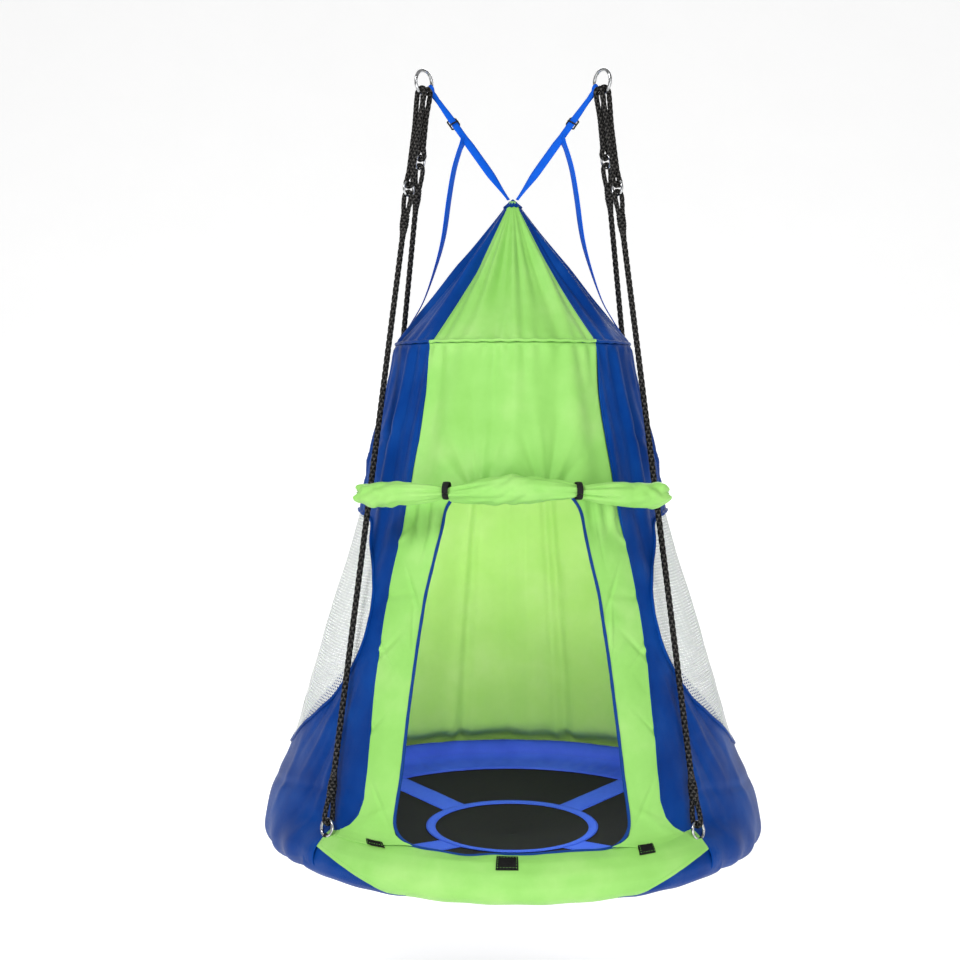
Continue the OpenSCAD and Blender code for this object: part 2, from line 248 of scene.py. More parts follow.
TRIM = web_mat("door_binding", (0.006, 0.052, 0.255), (0.004, 0.036, 0.18), rib=400.0)
ROPE = rope_mat()
STEEL = metal_mat("steel_ring", (0.62, 0.63, 0.64), 0.20, 0.42)
TUBE = metal_mat("steel_tube", (0.55, 0.56, 0.57), 0.35, 0.8)
PLAST = plain_mat("plastic_black", (0.014, 0.014, 0.015), (0.008, 0.008, 0.008), 300.0, 0.42)
FOAM = plain_mat("foam", (0.22, 0.22, 0.23), (0.16, 0.16, 0.17), 500.0, 0.9)
HOOK = plain_mat("hook_tape", (0.030, 0.030, 0.030), (0.003, 0.003, 0.003), 700.0, 0.95, 1.0, 0.002, 0.0, 0.08)
NET = plain_mat("mesh_white", (0.80, 0.815, 0.80), (0.73, 0.75, 0.745), 160.0, 0.7)
STITCH_L = plain_mat("stitch_lime", (0.24, 0.62, 0.11), (0.17, 0.50, 0.08), 900.0, 0.7)
STITCH_B = plain_mat("stitch_blue", (0.035, 0.10, 0.42), (0.015, 0.05, 0.25), 900.0, 0.6)


# ---------------------------------------------------------------- mesh helpers
def add(name, verts, faces, mat, body="swing", smooth=True, uvs=None, sub=0, solid=0.0, off=0.0):
    me = bpy.data.meshes.new(name)
    me.from_pydata([tuple(v) for v in np.asarray(verts)], [], [tuple(int(i) for i in f) for f in faces])
    me.update()
    if uvs is not None:
        uvl = me.uv_layers.new(name="UVMap")
        idx = np.empty(len(me.loops), int)
        me.loops.foreach_get("vertex_index", idx)
        uvl.data.foreach_set("uv", np.asarray(uvs)[idx].astype(np.float32).ravel())
    ob = bpy.data.objects.new(name, me)
    bpy.context.scene.collection.objects.link(ob)
    me.materials.append(mat)
    if smooth:
        me.polygons.foreach_set("use_smooth", [True] * len(me.polygons))
    if solid:
        md = ob.modifiers.new("solid", "SOLIDIFY")
        md.thickness = solid
        md.offset = off
        md.use_rim = True
    if sub:
        md = ob.modifiers.new("sub", "SUBSURF")
        md.levels = sub
        md.render_levels = sub
    if body:
        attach(ob, body)
    return ob


def grid(P, wrap_u=False, wrap_v=False, base=0):
    nu, nv = P.shape[:2]
    iu = np.arange(nu if wrap_u else nu - 1)
    iv = np.arange(nv if wrap_v else nv - 1)
    a, b = np.meshgrid(iu, iv, indexing="ij")
    a2, b2 = (a + 1) % nu, (b + 1) % nv
    q = np.stack([a * nv + b, a2 * nv + b, a2 * nv + b2, a * nv + b2], -1).reshape(-1, 4)
    return q + base


def resample(path, ds, closed=False):
    p = np.asarray(path, float)
    if closed:
        p = np.vstack([p, p[:1]])
    d = np.r_[0, np.cumsum(np.linalg.norm(np.diff(p, axis=0), axis=1))]
    n = max(3, int(round(d[-1] / ds)) + 1)
    s = np.linspace(0, d[-1], n)
    out = np.stack([np.interp(s, d, p[:, k]) for k in range(3)], -1)
    return (out[:-1], s[:-1], d[-1]) if closed else (out, s, d[-1])


def smooth_path(pts, n=60):
    """Catmull-Rom through the points."""
    p = np.asarray(pts, float)
    p = np.vstack([2 * p[0] - p[1], p, 2 * p[-1] - p[-2]])
    out = []
    per = max(2, n // (len(p) - 3))
    for i in range(1, len(p) - 2):
        t = np.linspace(0, 1, per, endpoint=False)[:, None]
        a, b, c, d = p[i - 1], p[i], p[i + 1], p[i + 2]
        out.append(0.5 * (2 * b + (c - a) * t + (2 * a - 5 * b + 4 * c - d) * t ** 2 + (3 * b - a - 3 * c + d) * t ** 3))
    out.append(p[-2][None])
    return np.vstack(out)


def frames(P, closed=False, hint=None):
    T = np.roll(P, -1, 0) - np.roll(P, 1, 0)
    if not closed:
        T[0], T[-1] = P[1] - P[0], P[-1] - P[-2]
    T /= np.linalg.norm(T, axis=1)[:, None]
    h = np.array(hint if hint is not None else ([0, 0, 1] if abs(T[0][2]) < 0.9 else [1, 0, 0]), float)
    N = np.zeros_like(P)
    n = h - T[0] * h.dot(T[0])
    N[0] = n / np.linalg.norm(n)
    for i in range(1, len(P)):
        n = N[i - 1] - T[i] * N[i - 1].dot(T[i])
        N[i] = n / np.linalg.norm(n)
    if closed:
        B0 = np.cross(T[0], N[0])
        n = N[-1] - T[0] * N[-1].dot(T[0])
        ang = math.atan2(n.dot(B0), n.dot(N[0]))
        for i in range(len(P)):
            a = -ang * i / len(P)
            B = np.cross(T[i], N[i])
            N[i] = N[i] * math.cos(a) + B * math.sin(a)
    return T, N, np.cross(T, N)


def tube(path, rad, ns=16, ds=0.004, closed=False, disp=None, hint=None, lay=None):
    P, s, L = resample(path, ds, closed)
    T, N, B = frames(P, closed, hint)
    r = rad(s / L) if callable(rad) else np.full(len(P), rad)
    th = np.arange(ns) * 2 * pi / ns
    S, TH = np.meshgrid(s, th, indexing="ij")
    R = np.repeat(r[:, None], ns, 1)
    if disp is not None:
        R = R * disp(S, TH, L)
    X = P[:, None] + R[..., None] * (np.cos(TH)[..., None] * N[:, None] + np.sin(TH)[..., None] * B[:, None])
    v = X.reshape(-1, 3)
    f = list(map(tuple, grid(X, closed, True)))
    if lay:  # strands round, strand crossings along
        uv = np.stack([TH * lay[0] / (2 * pi), S * round(L / lay[1]) / L], -1).reshape(-1, 2)
    else:
        uv = np.stack([TH * np.mean(r), S], -1).reshape(-1, 2)
    if not closed:
        c0, c1 = len(v), len(v) + 1
        v = np.vstack([v, P[:1], P[-1:]])
        uv = np.vstack([uv, [[0, 0]], [[0, L]]])
        e = (len(P) - 1) * ns
        for i in range(ns):
            j = (i + 1) % ns
            f.append((c0, j, i))
            f.append((c1, e + i, e + j))
    return v, f, uv


def braid(nb, pitch, depth=0.30):
    def g(S, TH, L):
        x, y = nb * TH / (2 * pi), S * round(L / pitch) / L
        a = np.abs(np.cos(pi * (x + y)))
        b = np.abs(np.cos(pi * (x - y)))
        sel = (np.sin(2 * pi * x) * np.cos(2 * pi * y) > 0).astype(float)
        h = a * sel + b * (1 - sel)
        return 1.0 - depth + depth * np.clip(1.25 * h, 0, 1)
    return g


def rope(path, rad, ns=None, ds=None, closed=False, nb=4, pitch=0.0155, depth=0.30, hint=(0, 1, 0.05)):
    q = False
    return tube(path, rad, ns=ns or (16 if q else 28), ds=ds or (0.003 if q else 0.0015), closed=closed, disp=braid(nb, pitch, depth), hint=hint, lay=(nb, pitch))


def merge(parts):
    vs, fs, us, o = [], [], [], 0
    for v, f, uv in parts:
        vs.append(v)
        fs.extend([tuple(i + o for i in q) for q in f])
        us.append(uv)
        o += len(v)
    return np.vstack(vs), fs, np.vstack(us)


def ribbon(path, width, thick, wdir, ds=0.006, nw=4):
    """Flat woven band along a path; wdir is the width direction, one vector or one per point."""
    P, s, L = resample(path, ds)
    T = np.gradient(P, axis=0)
    T /= np.linalg.norm(T, axis=1)[:, None]
    W = wdir(s / L) if callable(wdir) else np.repeat(np.array(wdir, float)[None], len(P), 0)
    W = W - T * np.sum(W * T, 1)[:, None]
    W /= np.linalg.norm(W, axis=1)[:, None]
    N = np.cross(T, W)
    wd = width(s / L) if callable(width) else np.full(len(P), width)
    t = np.linspace(-0.5, 0.5, nw + 1)
    ring = [(x, 0.5) for x in t] + [(x, -0.5) for x in t[::-1]]
    ring = np.array(ring)
    rnd = np.where(np.abs(ring[:, 0]) > 0.49, 0.35, 1.0)
    X = P[:, None] + wd[:, None, None] * ring[None, :, 0, None] * W[:, None] + thick * (ring[:, 1] * rnd)[None, :, None] * N[:, None]
    v = X.reshape(-1, 3)
    f = list(map(tuple, grid(X, False, True)))
    n = len(ring)
    f.append(tuple(range(n))[::-1])
    f.append(tuple(range(len(v) - n, len(v))))
    uv = np.stack([ring[None, :, 0] * wd[:, None], np.repeat(s[:, None], n, 1)], -1).reshape(-1, 2)
    return v, f, uv


# ---------------------------------------------------------------- route of ropes
GAP, HR = 0.18, 0.024
W_L = V(0.616, 0.788, 0)
SAUCER_R, ZF = 0.475, -1.485


def phi(sy):
    return math.radians(-23 if sy < 0 else 19)


def top_pt(sy):
    return V(-GAP, 0, 0) + HR * V(math.sin(phi(sy)) * W_L[0], math.sin(phi(sy)) * W_L[1], -math.cos(phi(sy)))


def top_tan(sy):
    return V(math.cos(phi(sy)) * W_L[0], math.cos(phi(sy)) * W_L[1], math.sin(phi(sy)))


AN = math.radians(46)


def anchor(sy, up=0.0):
    return V(-SAUCER_R * math.sin(AN), sy * SAUCER_R * math.cos(AN), ZF + up)


def ring_c(sy):
    return anchor(sy, 0.0545)


def updir(sy):
    return unit(top_pt(sy) - ring_c(sy))


def link_pt(sy):
    return top_pt(sy) - updir(sy) * (0.205 if sy < 0 else 0.135)


def tangent(sy):
    return V(math.cos(AN), sy * math.sin(AN), 0)


MX = V(-1, 1, 1)


def mir(p, side):
    return np.asarray(p) * (MX if side > 0 else 1)


NAMES = {(-1, -1): "front_left", (-1, 1): "front_right", (1, -1): "rear_left", (1, 1): "rear_right"}

# long ropes: straight, taut, one rope mesh each
for (sy, side), nm in NAMES.items():
    q = mir(link_pt(sy) - updir(sy) * (0.015 + 0.055), side)
    p = mir(ring_c(sy) + updir(sy) * (0.017 + 0.055), side)
    line = np.linspace(q, p, 15)
    v, f, uv = rope(line, 0.0059)
    ob = add("long_rope_" + nm, v, f, ROPE, uvs=uv)
    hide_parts("rope_" + nm)
    # eyes and splices at both ends
    parts = []
    for end, d, n, c in ((q, -1, top_tan(sy), link_pt(sy) - updir(sy) * 0.015), (p, 1, tangent(sy), ring_c(sy) + updir(sy) * 0.017)):
        u = mir(updir(sy), side)
        nn = mir(n, side)
        z = -u * (-d) if False else u
        x = unit(np.cross(nn, z))
        c = mir(c, side)
        s = 0.009
        # bight open towards the ring, legs back to the splice
        sg = 1.0 if d < 0 else -1.0
        arc = [c + x * s * math.cos(a) + z * sg * s * math.sin(a) for a in np.linspace(0, pi, 14)]
        leg1 = [c + x * s - z * sg * t for t in (0.040, 0.030, 0.018, 0.008)]
        leg1 = [c + x * (s * k) - z * sg * t for k, t in ((0.42, 0.046), (0.60, 0.034), (0.85, 0.020), (0.97, 0.009))]
        leg2 = [c - x * (s * k) - z * sg * t for k, t in ((0.97, 0.009), (0.85, 0.020), (0.60, 0.034), (0.42, 0.046))]
        loop = smooth_path(np.array(leg1 + arc + leg2), 90)
        parts.append(rope(loop, 0.0049, pitch=0.0135))
        # splice: a fatter sleeve of buried strands
        spl = [c - z * sg * 0.036, c - z * sg * 0.085]
        parts.append(rope(np.linspace(spl[0], spl[1], 8), lambda t: 0.0092 - 0.0031 * sstep((t - 0.45) / 0.55) - 0.002 * sstep((0.12 - t) / 0.12), nb=5, pitch=0.0125))
    v, f, uv = merge(parts)
    add("rope_eyes_" + nm, v, f, ROPE, uvs=uv)

# upper slings: endless loops between the fixed ring and the swing
for (sy, side), nm in NAMES.items():
    t0, ud, tt = mir(top_pt(sy) + updir(sy) * 0.0015, side), mir(updir(sy), side), mir(top_tan(sy), side)
    x = unit(np.cross(tt, ud))
    h = (0.205 if sy < 0 else 0.135) - 0.014 + 0.0005
    s = 0.0092

    def wfun(z):  # legs pinch together in the middle
        return s * (1 - 0.46 * float(sstep(z / 0.45)) * float(sstep((1.02 - z) / 0.14))) if 0 < z < 1 else s
    a1 = [t0 + x * s * math.cos(a) + ud * s * math.sin(a) for a in np.linspace(0, pi, 14)]
    l1 = [t0 - x * wfun(k) - ud * h * k for k in np.linspace(0.06, 0.94, 14)]
    a2 = [t0 - ud * h - x * s * math.cos(a) - ud * s * math.sin(a) for a in np.linspace(0, pi, 14)]
    l2 = [t0 + x * wfun(k) - ud * h * k for k in np.linspace(0.94, 0.06, 14)]
    v, f, uv = rope(np.array(a1 + l1 + a2 + l2), 0.0054, closed=True, pitch=0.0145)
    ob = add("sling_loop_%s" % nm, v, f, ROPE, body=None, uvs=uv)
    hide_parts("upper_sling_" + nm)
    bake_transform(ob)


# ---------------------------------------------------------------- steel rings
def torus(c, axis, R, r, weld_dir=None):
    ax = unit(axis)
    h = unit(np.cross(ax, [0, 0, 1]) if abs(ax[2]) < 0.95 else [1, 0, 0])
    k = np.cross(ax, h)
    th = np.linspace(0, 2 * pi, 96, endpoint=False)
    pts = np.array([c + R * (math.cos(t) * h + math.sin(t) * k) for t in th])

    def dsp(S, TH, L):
        w = np.exp(-(((S / L - 0.04) / 0.012) ** 2))
        return 1 + 0.09 * w
    return tube(pts, r, ns=24, ds=2 * pi * R / 96, closed=True, disp=dsp)


for side, nm in ((-1, "left"), (1, "right")):
    ax = V(W_L[1], -W_L[0] if side < 0 else W_L[0], 0)
    v, f, uv = torus(V(side * GAP, 0, 0), ax, HR, 0.0035)
    ob = add("hanging_ring_" + nm, v, f, STEEL, body="hangers", uvs=uv)
    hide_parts("hang_ring_" + nm)
parts, parts2 = [], []
for (sy, side), nm in NAMES.items():
    ud = mir(updir(sy), side)
    parts.append(torus(mir(link_pt(sy), side), unit(np.cross(mir(top_tan(sy), side), ud)), 0.014, 0.0025))
    parts2.append(torus(mir(ring_c(sy), side), unit(np.cross(mir(tangent(sy), side), ud)), 0.016, 0.003))
v, f, uv = merge(parts)
ob = add("link_ring_set", v, f, STEEL, uvs=uv)
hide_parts("link_rings")
v, f, uv = merge(parts2)
ob = add("frame_ring_set", v, f, STEEL, uvs=uv)
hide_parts("frame_rings")

# anchor loops: webbing round the rim with a small eye above
parts = []
for (sy, side), nm in NAMES.items():
    c = mir(anchor(sy), side)
    rad = unit(V(c[0], c[1], 0))
    tg = unit(mir(tangent(sy), side))
    up = V(0, 0, 1)
    ts = np.linspace(math.radians(112), math.radians(428), 48)
    arc = [c + 0.0258 * (math.cos(t) * rad + math.sin(t) * up) for t in ts]
    eye = [c + up * 0.036 + 0.0072 * (math.cos(t) * rad + math.sin(t) * up) for t in np.linspace(math.radians(-50), math.radians(230), 20)]
    parts.append(ribbon(np.array(arc), 0.025, 0.0022, tg, ds=0.004))
    parts.append(ribbon(np.array([arc[-1]] + eye + [arc[0]]), 0.011, 0.002, tg, ds=0.002))
v, f, uv = merge(parts)
ob = add("anchor_loop_set", v, f, WEB_K, uvs=uv)
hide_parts("anchor_loops")

# ---------------------------------------------------------------- tent surface
VV = np.array([0, .052, .112, .195, .277, .343, .472, .582, .728, .820, .881, .906, .935, .970, 1.000, 1.025, 1.045])
ZS = -np.array([.528, .580, .640, .723, .805, .871, 1.0, 1.11, 1.256, 1.348, 1.409, 1.436, 1.463, 1.497, 1.520, 1.533, 1.538])
RS = np.array([.236, .247, .262, .286, .301, .309, .349, .383, .427, .457, .487, .497, .504, .506, .498, .484, .468])
ZT = -np.array([.528, .580, .640, .723, .805, .871, 1.0, 1.11, 1.256, 1.348, 1.409, 1.433, 1.4455, 1.466, 1.494, 1.513, 1.521])
RT = np.array([.236, .247, .262, .286, .301, .309, .348, .381, .4195, .441, .452, .457, .482, .5045, .506, .492, .474])


def smooth_tab(tab, x, k=0.012):
    return sum(w * np.interp(x + o * k, VV, tab) for o, w in ((-2, .1), (-1, .2), (0, .4), (1, .2), (2, .1)))


def side_w(az):
    s = np.abs(np.sin(az))
    return sstep((s - math.sin(math.radians(50))) / (1 - math.sin(math.radians(50))))


def vnoise(x, y, seed, cell):
    """Smooth value noise on a fixed lattice."""
    g = np.random.RandomState(seed).rand(256, 256)
    x, y = np.asarray(x) / cell + 100, np.asarray(y) / cell + 100
    xi, yi = np.floor(x).astype(int), np.floor(y).astype(int)
    fx, fy = sstep(x - xi), sstep(y - yi)
    G = lambda i, j: g[i % 256, j % 256]
    return (G(xi, yi) * (1 - fx) * (1 - fy) + G(xi + 1, yi) * fx * (1 - fy) + G(xi, yi + 1) * (1 - fx) * fy + G(xi + 1, yi + 1) * fx * fy) * 2 - 1


def fold_line(x, y, x0, y0, ang, ln, wd, amp):
    """One soft crease centred at x0, y0."""
    c, s = math.cos(ang), math.sin(ang)
    a = (x - x0) * c + (y - y0) * s
    b = -(x - x0) * s + (y - y0) * c
    return amp * np.exp(-(a / ln) ** 2) * np.exp(-(b / wd) ** 2)


def wrinkle(az, v, kind):
    x = az * 0.38
    w = 0.0020 * vnoise(x, v, 3, 0.11) + 0.0009 * vnoise(x + v * 0.6, v - x * 0.4, 5, 0.045)
    g = np.exp(-np.abs(v) / 0.045)
    w = w + g * 0.0030 * np.sin(az * 46 + 1.2 * np.sin(az * 9)) * np.clip(v / 0.012, 0, 1)
    if kind == "front":
        # long soft folds hanging from the shoulder
        w = w + (0.0042 * np.sin(az * 15 + 0.8) + 0.0022 * np.sin(az * 27 + 2.0)) * np.exp(-((v - 0.14) / 0.15) ** 2) * sstep(v / 0.04)
        # creases fanning out of the two ties
        for sg in (-1, 1):
            tx, ty = sg * 0.2007 * 0.38, 0.300
            for k, (an, ln, am) in enumerate(((-68, .060, .0040), (-50, .075, -.0036), (-34, .085, .0040), (-16, .080, -.0030), (4, .085, .0032), (24, .075, -.0030), (46, .060, .0034), (66, .050, -.0028))):
                a_ = math.radians(an * -sg)
                dx, dy = math.sin(a_), -math.cos(a_)
                cx_, cy_ = tx + dx * ln * 0.95, ty + dy * ln * 0.95
                al_ = (x - cx_) * dx + (v - cy_) * dy
                bl_ = -(x - cx_) * dy + (v - cy_) * dx
                wd_ = 0.0045 + 0.05 * np.clip(al_ + ln, 0, 0.2)
                w = w + am * np.exp(-(al_ / ln) ** 2) * np.exp(-(bl_ / wd_) ** 2)
    if kind == "jamb":
        r = np.random.RandomState(23)
        for i in range(20):
            w = w + fold_line(np.abs(x), v, r.uniform(.18, .28), r.uniform(.3, .90), r.uniform(-.9, .9) + (pi / 2 if i % 2 else 0), r.uniform(.02, .06), r.uniform(.004, .008), r.uniform(-.0028, .0028))
        w = w + 0.0034 * np.exp(-((v - 0.33) / 0.035) ** 2) * np.sin(az * 60)
    if kind == "side":
        r = np.random.RandomState(31)
        ax = np.abs(az) * 0.38
        for i in range(30):
            w = w + fold_line(ax, v, r.uniform(.26, .95), r.uniform(.02, .9), r.uniform(-.30, .30) + pi / 2 * (i % 4 > 0), r.uniform(.05, .15), r.uniform(.007, .016), r.uniform(-.0048, .0044))
        # long folds down from the shoulder at both edges
        w = w + (0.0040 * np.sin(ax * 70 + 1.2 * np.sin(v * 9)) + 0.0026 * np.sin(ax * 121 + 0.5)) * np.exp(-((v - 0.20) / 0.20) ** 2) * sstep(v / 0.03)
        # drag lines between the window and the ropes' anchors
        for s0, sl in ((.33, 1), (.86, -1)):
            for k in range(5):
                w = w + fold_line(ax, v, s0 + sl * (.010 + .016 * k), .80 - .035 * k, pi / 2 - sl * (.20 + .10 * k), .10, .0075, .0040 * (-1) ** k)
        w = w + 0.0028 * np.sin(ax * 95 + 3 * v) * np.exp(-((v - 0.99) / 0.045) ** 2)
    if kind == "rear":
        for a0, am in ((pi - .28, .007), (pi - .235, -.006), (pi + .26, .0065), (pi + .31, -.005), (pi + .02, .0025), (pi - .09, -.0025)):
            w = w + am * np.exp(-((az - a0) / 0.030) ** 2) * sstep((v - 0.10) / 0.35)
        w = w + 0.0016 * np.sin(ax0(az) * 60) * sstep(v / 0.2)
    return w


def ax0(az):
    return (az - pi) * 0.38


def surf(az, v, kind, off=0.0):
    az, v = np.broadcast_arrays(np.asarray(az, float), np.asarray(v, float))
    s = side_w(az)
    r = smooth_tab(RT, v) * (1 - s) + smooth_tab(RS, v) * s
    z = smooth_tab(ZT, v) * (1 - s) + smooth_tab(ZS, v) * s
    e = 1e-3
    r2 = smooth_tab(RT, v + e) * (1 - s) + smooth_tab(RS, v + e) * s
    z2 = smooth_tab(ZT, v + e) * (1 - s) + smooth_tab(ZS, v + e) * s
    tr, tz = r2 - r, z2 - z
    L = np.hypot(tr, tz) + 1e-9
    nr, nz = -tz / L, tr / L
    w = wrinkle(az, v, kind) + off
    r, z = r + nr * w, z + nz * w
    return np.stack([r * np.sin(az), -r * np.cos(az), z], -1)


def az_b(v):  # seam between lime and blue
    return np.radians(np.interp(v, [0, .1, .19, .27, .32, .41, .47, .58, .68, .79, .84, .872, .89, .906], [42.3, 39.5, 38.6, 39.6, 41.0, 42.0, 42.0, 40.9, 39.2, 37.7, 37.4, 38.6, 40.5, 43.0]))


def az_d(v):  # doorway edge
    return np.radians(np.interp(v, [.285, .293, .303, .313, .357, .47, .58, .70, .80, .858, .880, .893, .902, .908], [19.0, 21.6, 23.4, 24.4, 25.1, 27.4, 27.5, 27.4, 27.3, 27.9, 28.0, 27.2, 25.4, 22.5]))


TH = 0.0012


def panel(name, lo, hi, v0, v1, kind, mat, nodes, nu=90, nvv=160, off=0.0, body="swing", flat=None):
    v = np.linspace(v0, v1, nvv)
    t = np.linspace(0, 1, nu)
    a0, a1 = lo(v) if callable(lo) else np.full(nvv, lo), hi(v) if callable(hi) else np.full(nvv, hi)
    AZ = a0[None] + (a1 - a0)[None] * t[:, None]
    VQ = np.repeat(v[None], nu, 0)
    if kind == "jamb":  # the lower edge rides over the apron, least at the doorway
        tt = t if np.mean(a0) > 0 else 1 - t
        VQ = v0 + (VQ - v0) * ((0.909 + 0.017 * sstep(tt / 0.6) - v0) / (v1 - v0))[:, None]
        AZ = np.stack([(lo(VQ[i]) + (hi(VQ[i]) - lo(VQ[i])) * t[i]) for i in range(nu)])
    P = surf(AZ, VQ, kind, off)
    uv = np.stack([AZ * 0.38, VQ], -1).reshape(-1, 2)
    ob = add(name, P.reshape(-1, 3), grid(P), mat, uvs=uv, solid=TH, off=-1.0)
    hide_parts(*nodes)
    return ob


panel("upper_front_cloth", lambda v: -az_b(v), az_b, 0.0, 0.296, "front", LIME, ["upper_front_panel"], nu=150, nvv=90)
panel("front_jamb_cloth_left", lambda v: -az_b(v), lambda v: -az_d(v), 0.285, 0.926, "jamb", LIME, ["front_jamb_left"], nu=60, nvv=220)
panel("front_jamb_cloth_right", az_d, az_b, 0.285, 0.926, "jamb", LIME, ["front_jamb_right"], nu=60, nvv=220)
panel("rear_cloth", lambda v: pi - az_b(v), lambda v: pi + az_b(v), 0.0, 1.045, "rear", LIME_BACKLIT, ["rear_panel", "rear_apron"], nu=150, nvv=240)


# side panels with the window cut out, walls and skirt in one continuous sheet
WV = np.array([.336, .338, .343, .357, .412, .467, .512, .559, .596, .652, .698, .732, .765, .795, .812, .820])
WH = np.radians([0, 18, 26.5, 30, 35, 41.0, 42.6, 42.4, 41, 36.5, 30, 24, 17, 10, 4.5, 0])


def win_pt(n):
    """Window outline (angle from the side, v) going round once, evenly spaced."""
    a = np.r_[WH, -WH[::-1][1:-1]]
    v = np.r_[WV, WV[::-1][1:-1]]
    p, _, _ = resample(np.stack([a * 0.38, v, 0 * v], -1), 0.004, True)
    for _ in range(3):
        p = 0.25 * np.roll(p, 2, 0) + 0.25 * np.roll(p, -2, 0) + 0.5 * p
    q = np.vstack([p, p[:1]])
    d = np.r_[0, np.cumsum(np.linalg.norm(np.diff(q, axis=0), axis=1))]
    t = np.linspace(0, d[-1], n, endpoint=False)
    return np.interp(t, d, q[:, 0]) / 0.38, np.interp(t, d, q[:, 1])


def side_panel(side, nm):
    n = 520
    ia, iv = win_pt(n)
    ia = ia + pi / 2
    # outer rectangle hit by the same direction
    v0, v1 = 0.0, 1.045
    t_out = np.empty(n)
    oa, ov = np.empty(n), np.empty(n)
    for i in range(n):
        da, dv = (ia[i] - pi / 2), (iv[i] - 0.575)
        k = 1.0
        for _ in range(40):
            k2 = k
            cand = []
            if dv > 1e-9:
                cand.append((v1 - 0.575) / dv)
            if dv < -1e-9:
                cand.append((v0 - 0.575) / dv)
            vv = 0.575 + dv * k
            ed = float(az_b(min(max(vv, 0), .87)))
            if vv > 0.87:
                ed = math.radians(float(np.interp(vv, [.87, .89, .906, .928], [37.6, 39.6, 42.0, 46.3])))
            half = pi / 2 - ed
            if abs(da) > 1e-9:
                cand.append(half / abs(da))
            k = 0.5 * k + 0.5 * min(cand)
            if abs(k - k2) < 1e-7:
                break
        oa[i], ov[i] = pi / 2 + da * k, 0.575 + dv * k
    nk = 84
    tt = np.linspace(0, 1, nk)
    A = ia[:, None] + (oa - ia)[:, None] * tt[None]
    VQ = iv[:, None] + (ov - iv)[:, None] * tt[None]
    P = surf(A * 1.0, VQ, "side")
    P = P * (V(1, 1, 1) if side > 0 else V(-1, 1, 1))
    q = grid(P, True, False)
    if side < 0:
        q = q[:, ::-1]
    uv = np.stack([A * 0.4, VQ], -1).reshape(-1, 2)
    ob = add("side_cloth_" + nm, P.reshape(-1, 3), q, BLUE, uvs=uv, solid=TH, off=0.0)
    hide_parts("side_panel_" + nm, "side_skirt_" + nm)
    # binding round the window
    pts = surf(ia, iv, "side", 0.0012) * (V(1, 1, 1) if side > 0 else V(-1, 1, 1))
    b = tube(pts, 0.0034, ns=8, ds=0.006, closed=True)
    add("window_binding_" + nm, b[0], b[1], BLUE, uvs=b[2])
    # net: crossing threads following the surface, drawn a little flat
    step = 0.0056
    parts = []
    th_w, th_t = 0.0033, 0.0006

    def inside(a, v):
        return np.abs(a) < np.interp(v, WV, WH, left=0, right=0)
    AA = 0.37
    for fam in (0, 1):
        for k in np.arange(-70, 71):
            c0 = k * step * 1.0
            t = np.arange(-0.36, 0.36, 0.010)
            if fam == 0:
                xx, yy = t + 0 * c0, np.full_like(t, c0)
            else:
                xx, yy = np.full_like(t, c0), t
            a, v = xx / AA, yy + 0.575
            # find the span inside
            tf = np.linspace(-0.36, 0.36, 721)
            if fam == 0:
                ins = inside(tf / AA, np.full_like(tf, c0 + 0.575))
            else:
                ins = inside(np.full_like(tf, c0 / AA), tf + 0.575)
            if ins.sum() < 8:
                continue
            lo_, hi_ = tf[ins].min() + 0.0015, tf[ins].max() - 0.0015
            m = max(4, int((hi_ - lo_) / 0.014))
            t = np.linspace(lo_, hi_, m)
            if fam == 0:
                a, v = t / AA, np.full(m, c0 + 0.575)
            else:
                a, v = np.full(m, c0 / AA), t + 0.575
            edge = 1 - np.clip(np.hypot(a / 0.74, (v - 0.575) / 0.24), 0, 1) ** 3
            Pn = surf(a + pi / 2, v, "net", 0.0) * 1.0
            pull = -0.004 * edge * np.exp(-((v - 0.47) / 0.16) ** 2) + 0.0012 * np.sin(a * 22 + v * 6) * edge
            rad = Pn.copy()
            rad[:, 2] = 0
            rad /= np.linalg.norm(rad, axis=1)[:, None]
            Pn = Pn - rad * pull[:, None] + rad * (0.0003 if fam else -0.0003)
            if side < 0:
                Pn = Pn * V(-1, 1, 1)
                rad = rad * V(-1, 1, 1)
            T = np.gradient(Pn, axis=0)
            T /= np.linalg.norm(T, axis=1)[:, None]
            W = np.cross(T, rad)
            W /= np.linalg.norm(W, axis=1)[:, None]
            ringp = [(-.5, 0), (0, .5), (.5, 0), (0, -.5)]
            X = np.stack([Pn + W * th_w * x_ + rad * th_t * y_ for x_, y_ in ringp], 1)
            vv = X.reshape(-1, 3)
            ff = list(map(tuple, grid(X, False, True))) + [(3, 2, 1, 0), tuple(range(len(vv) - 4, len(vv)))]
            parts.append((vv, ff, np.zeros((len(vv), 2))))
    v_, f_, u_ = merge(parts)
    ob = add("window_mesh_" + nm, v_, f_, NET, uvs=u_, smooth=False)
    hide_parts("window_net_" + nm)


side_panel(-1, "left")
side_panel(1, "right")


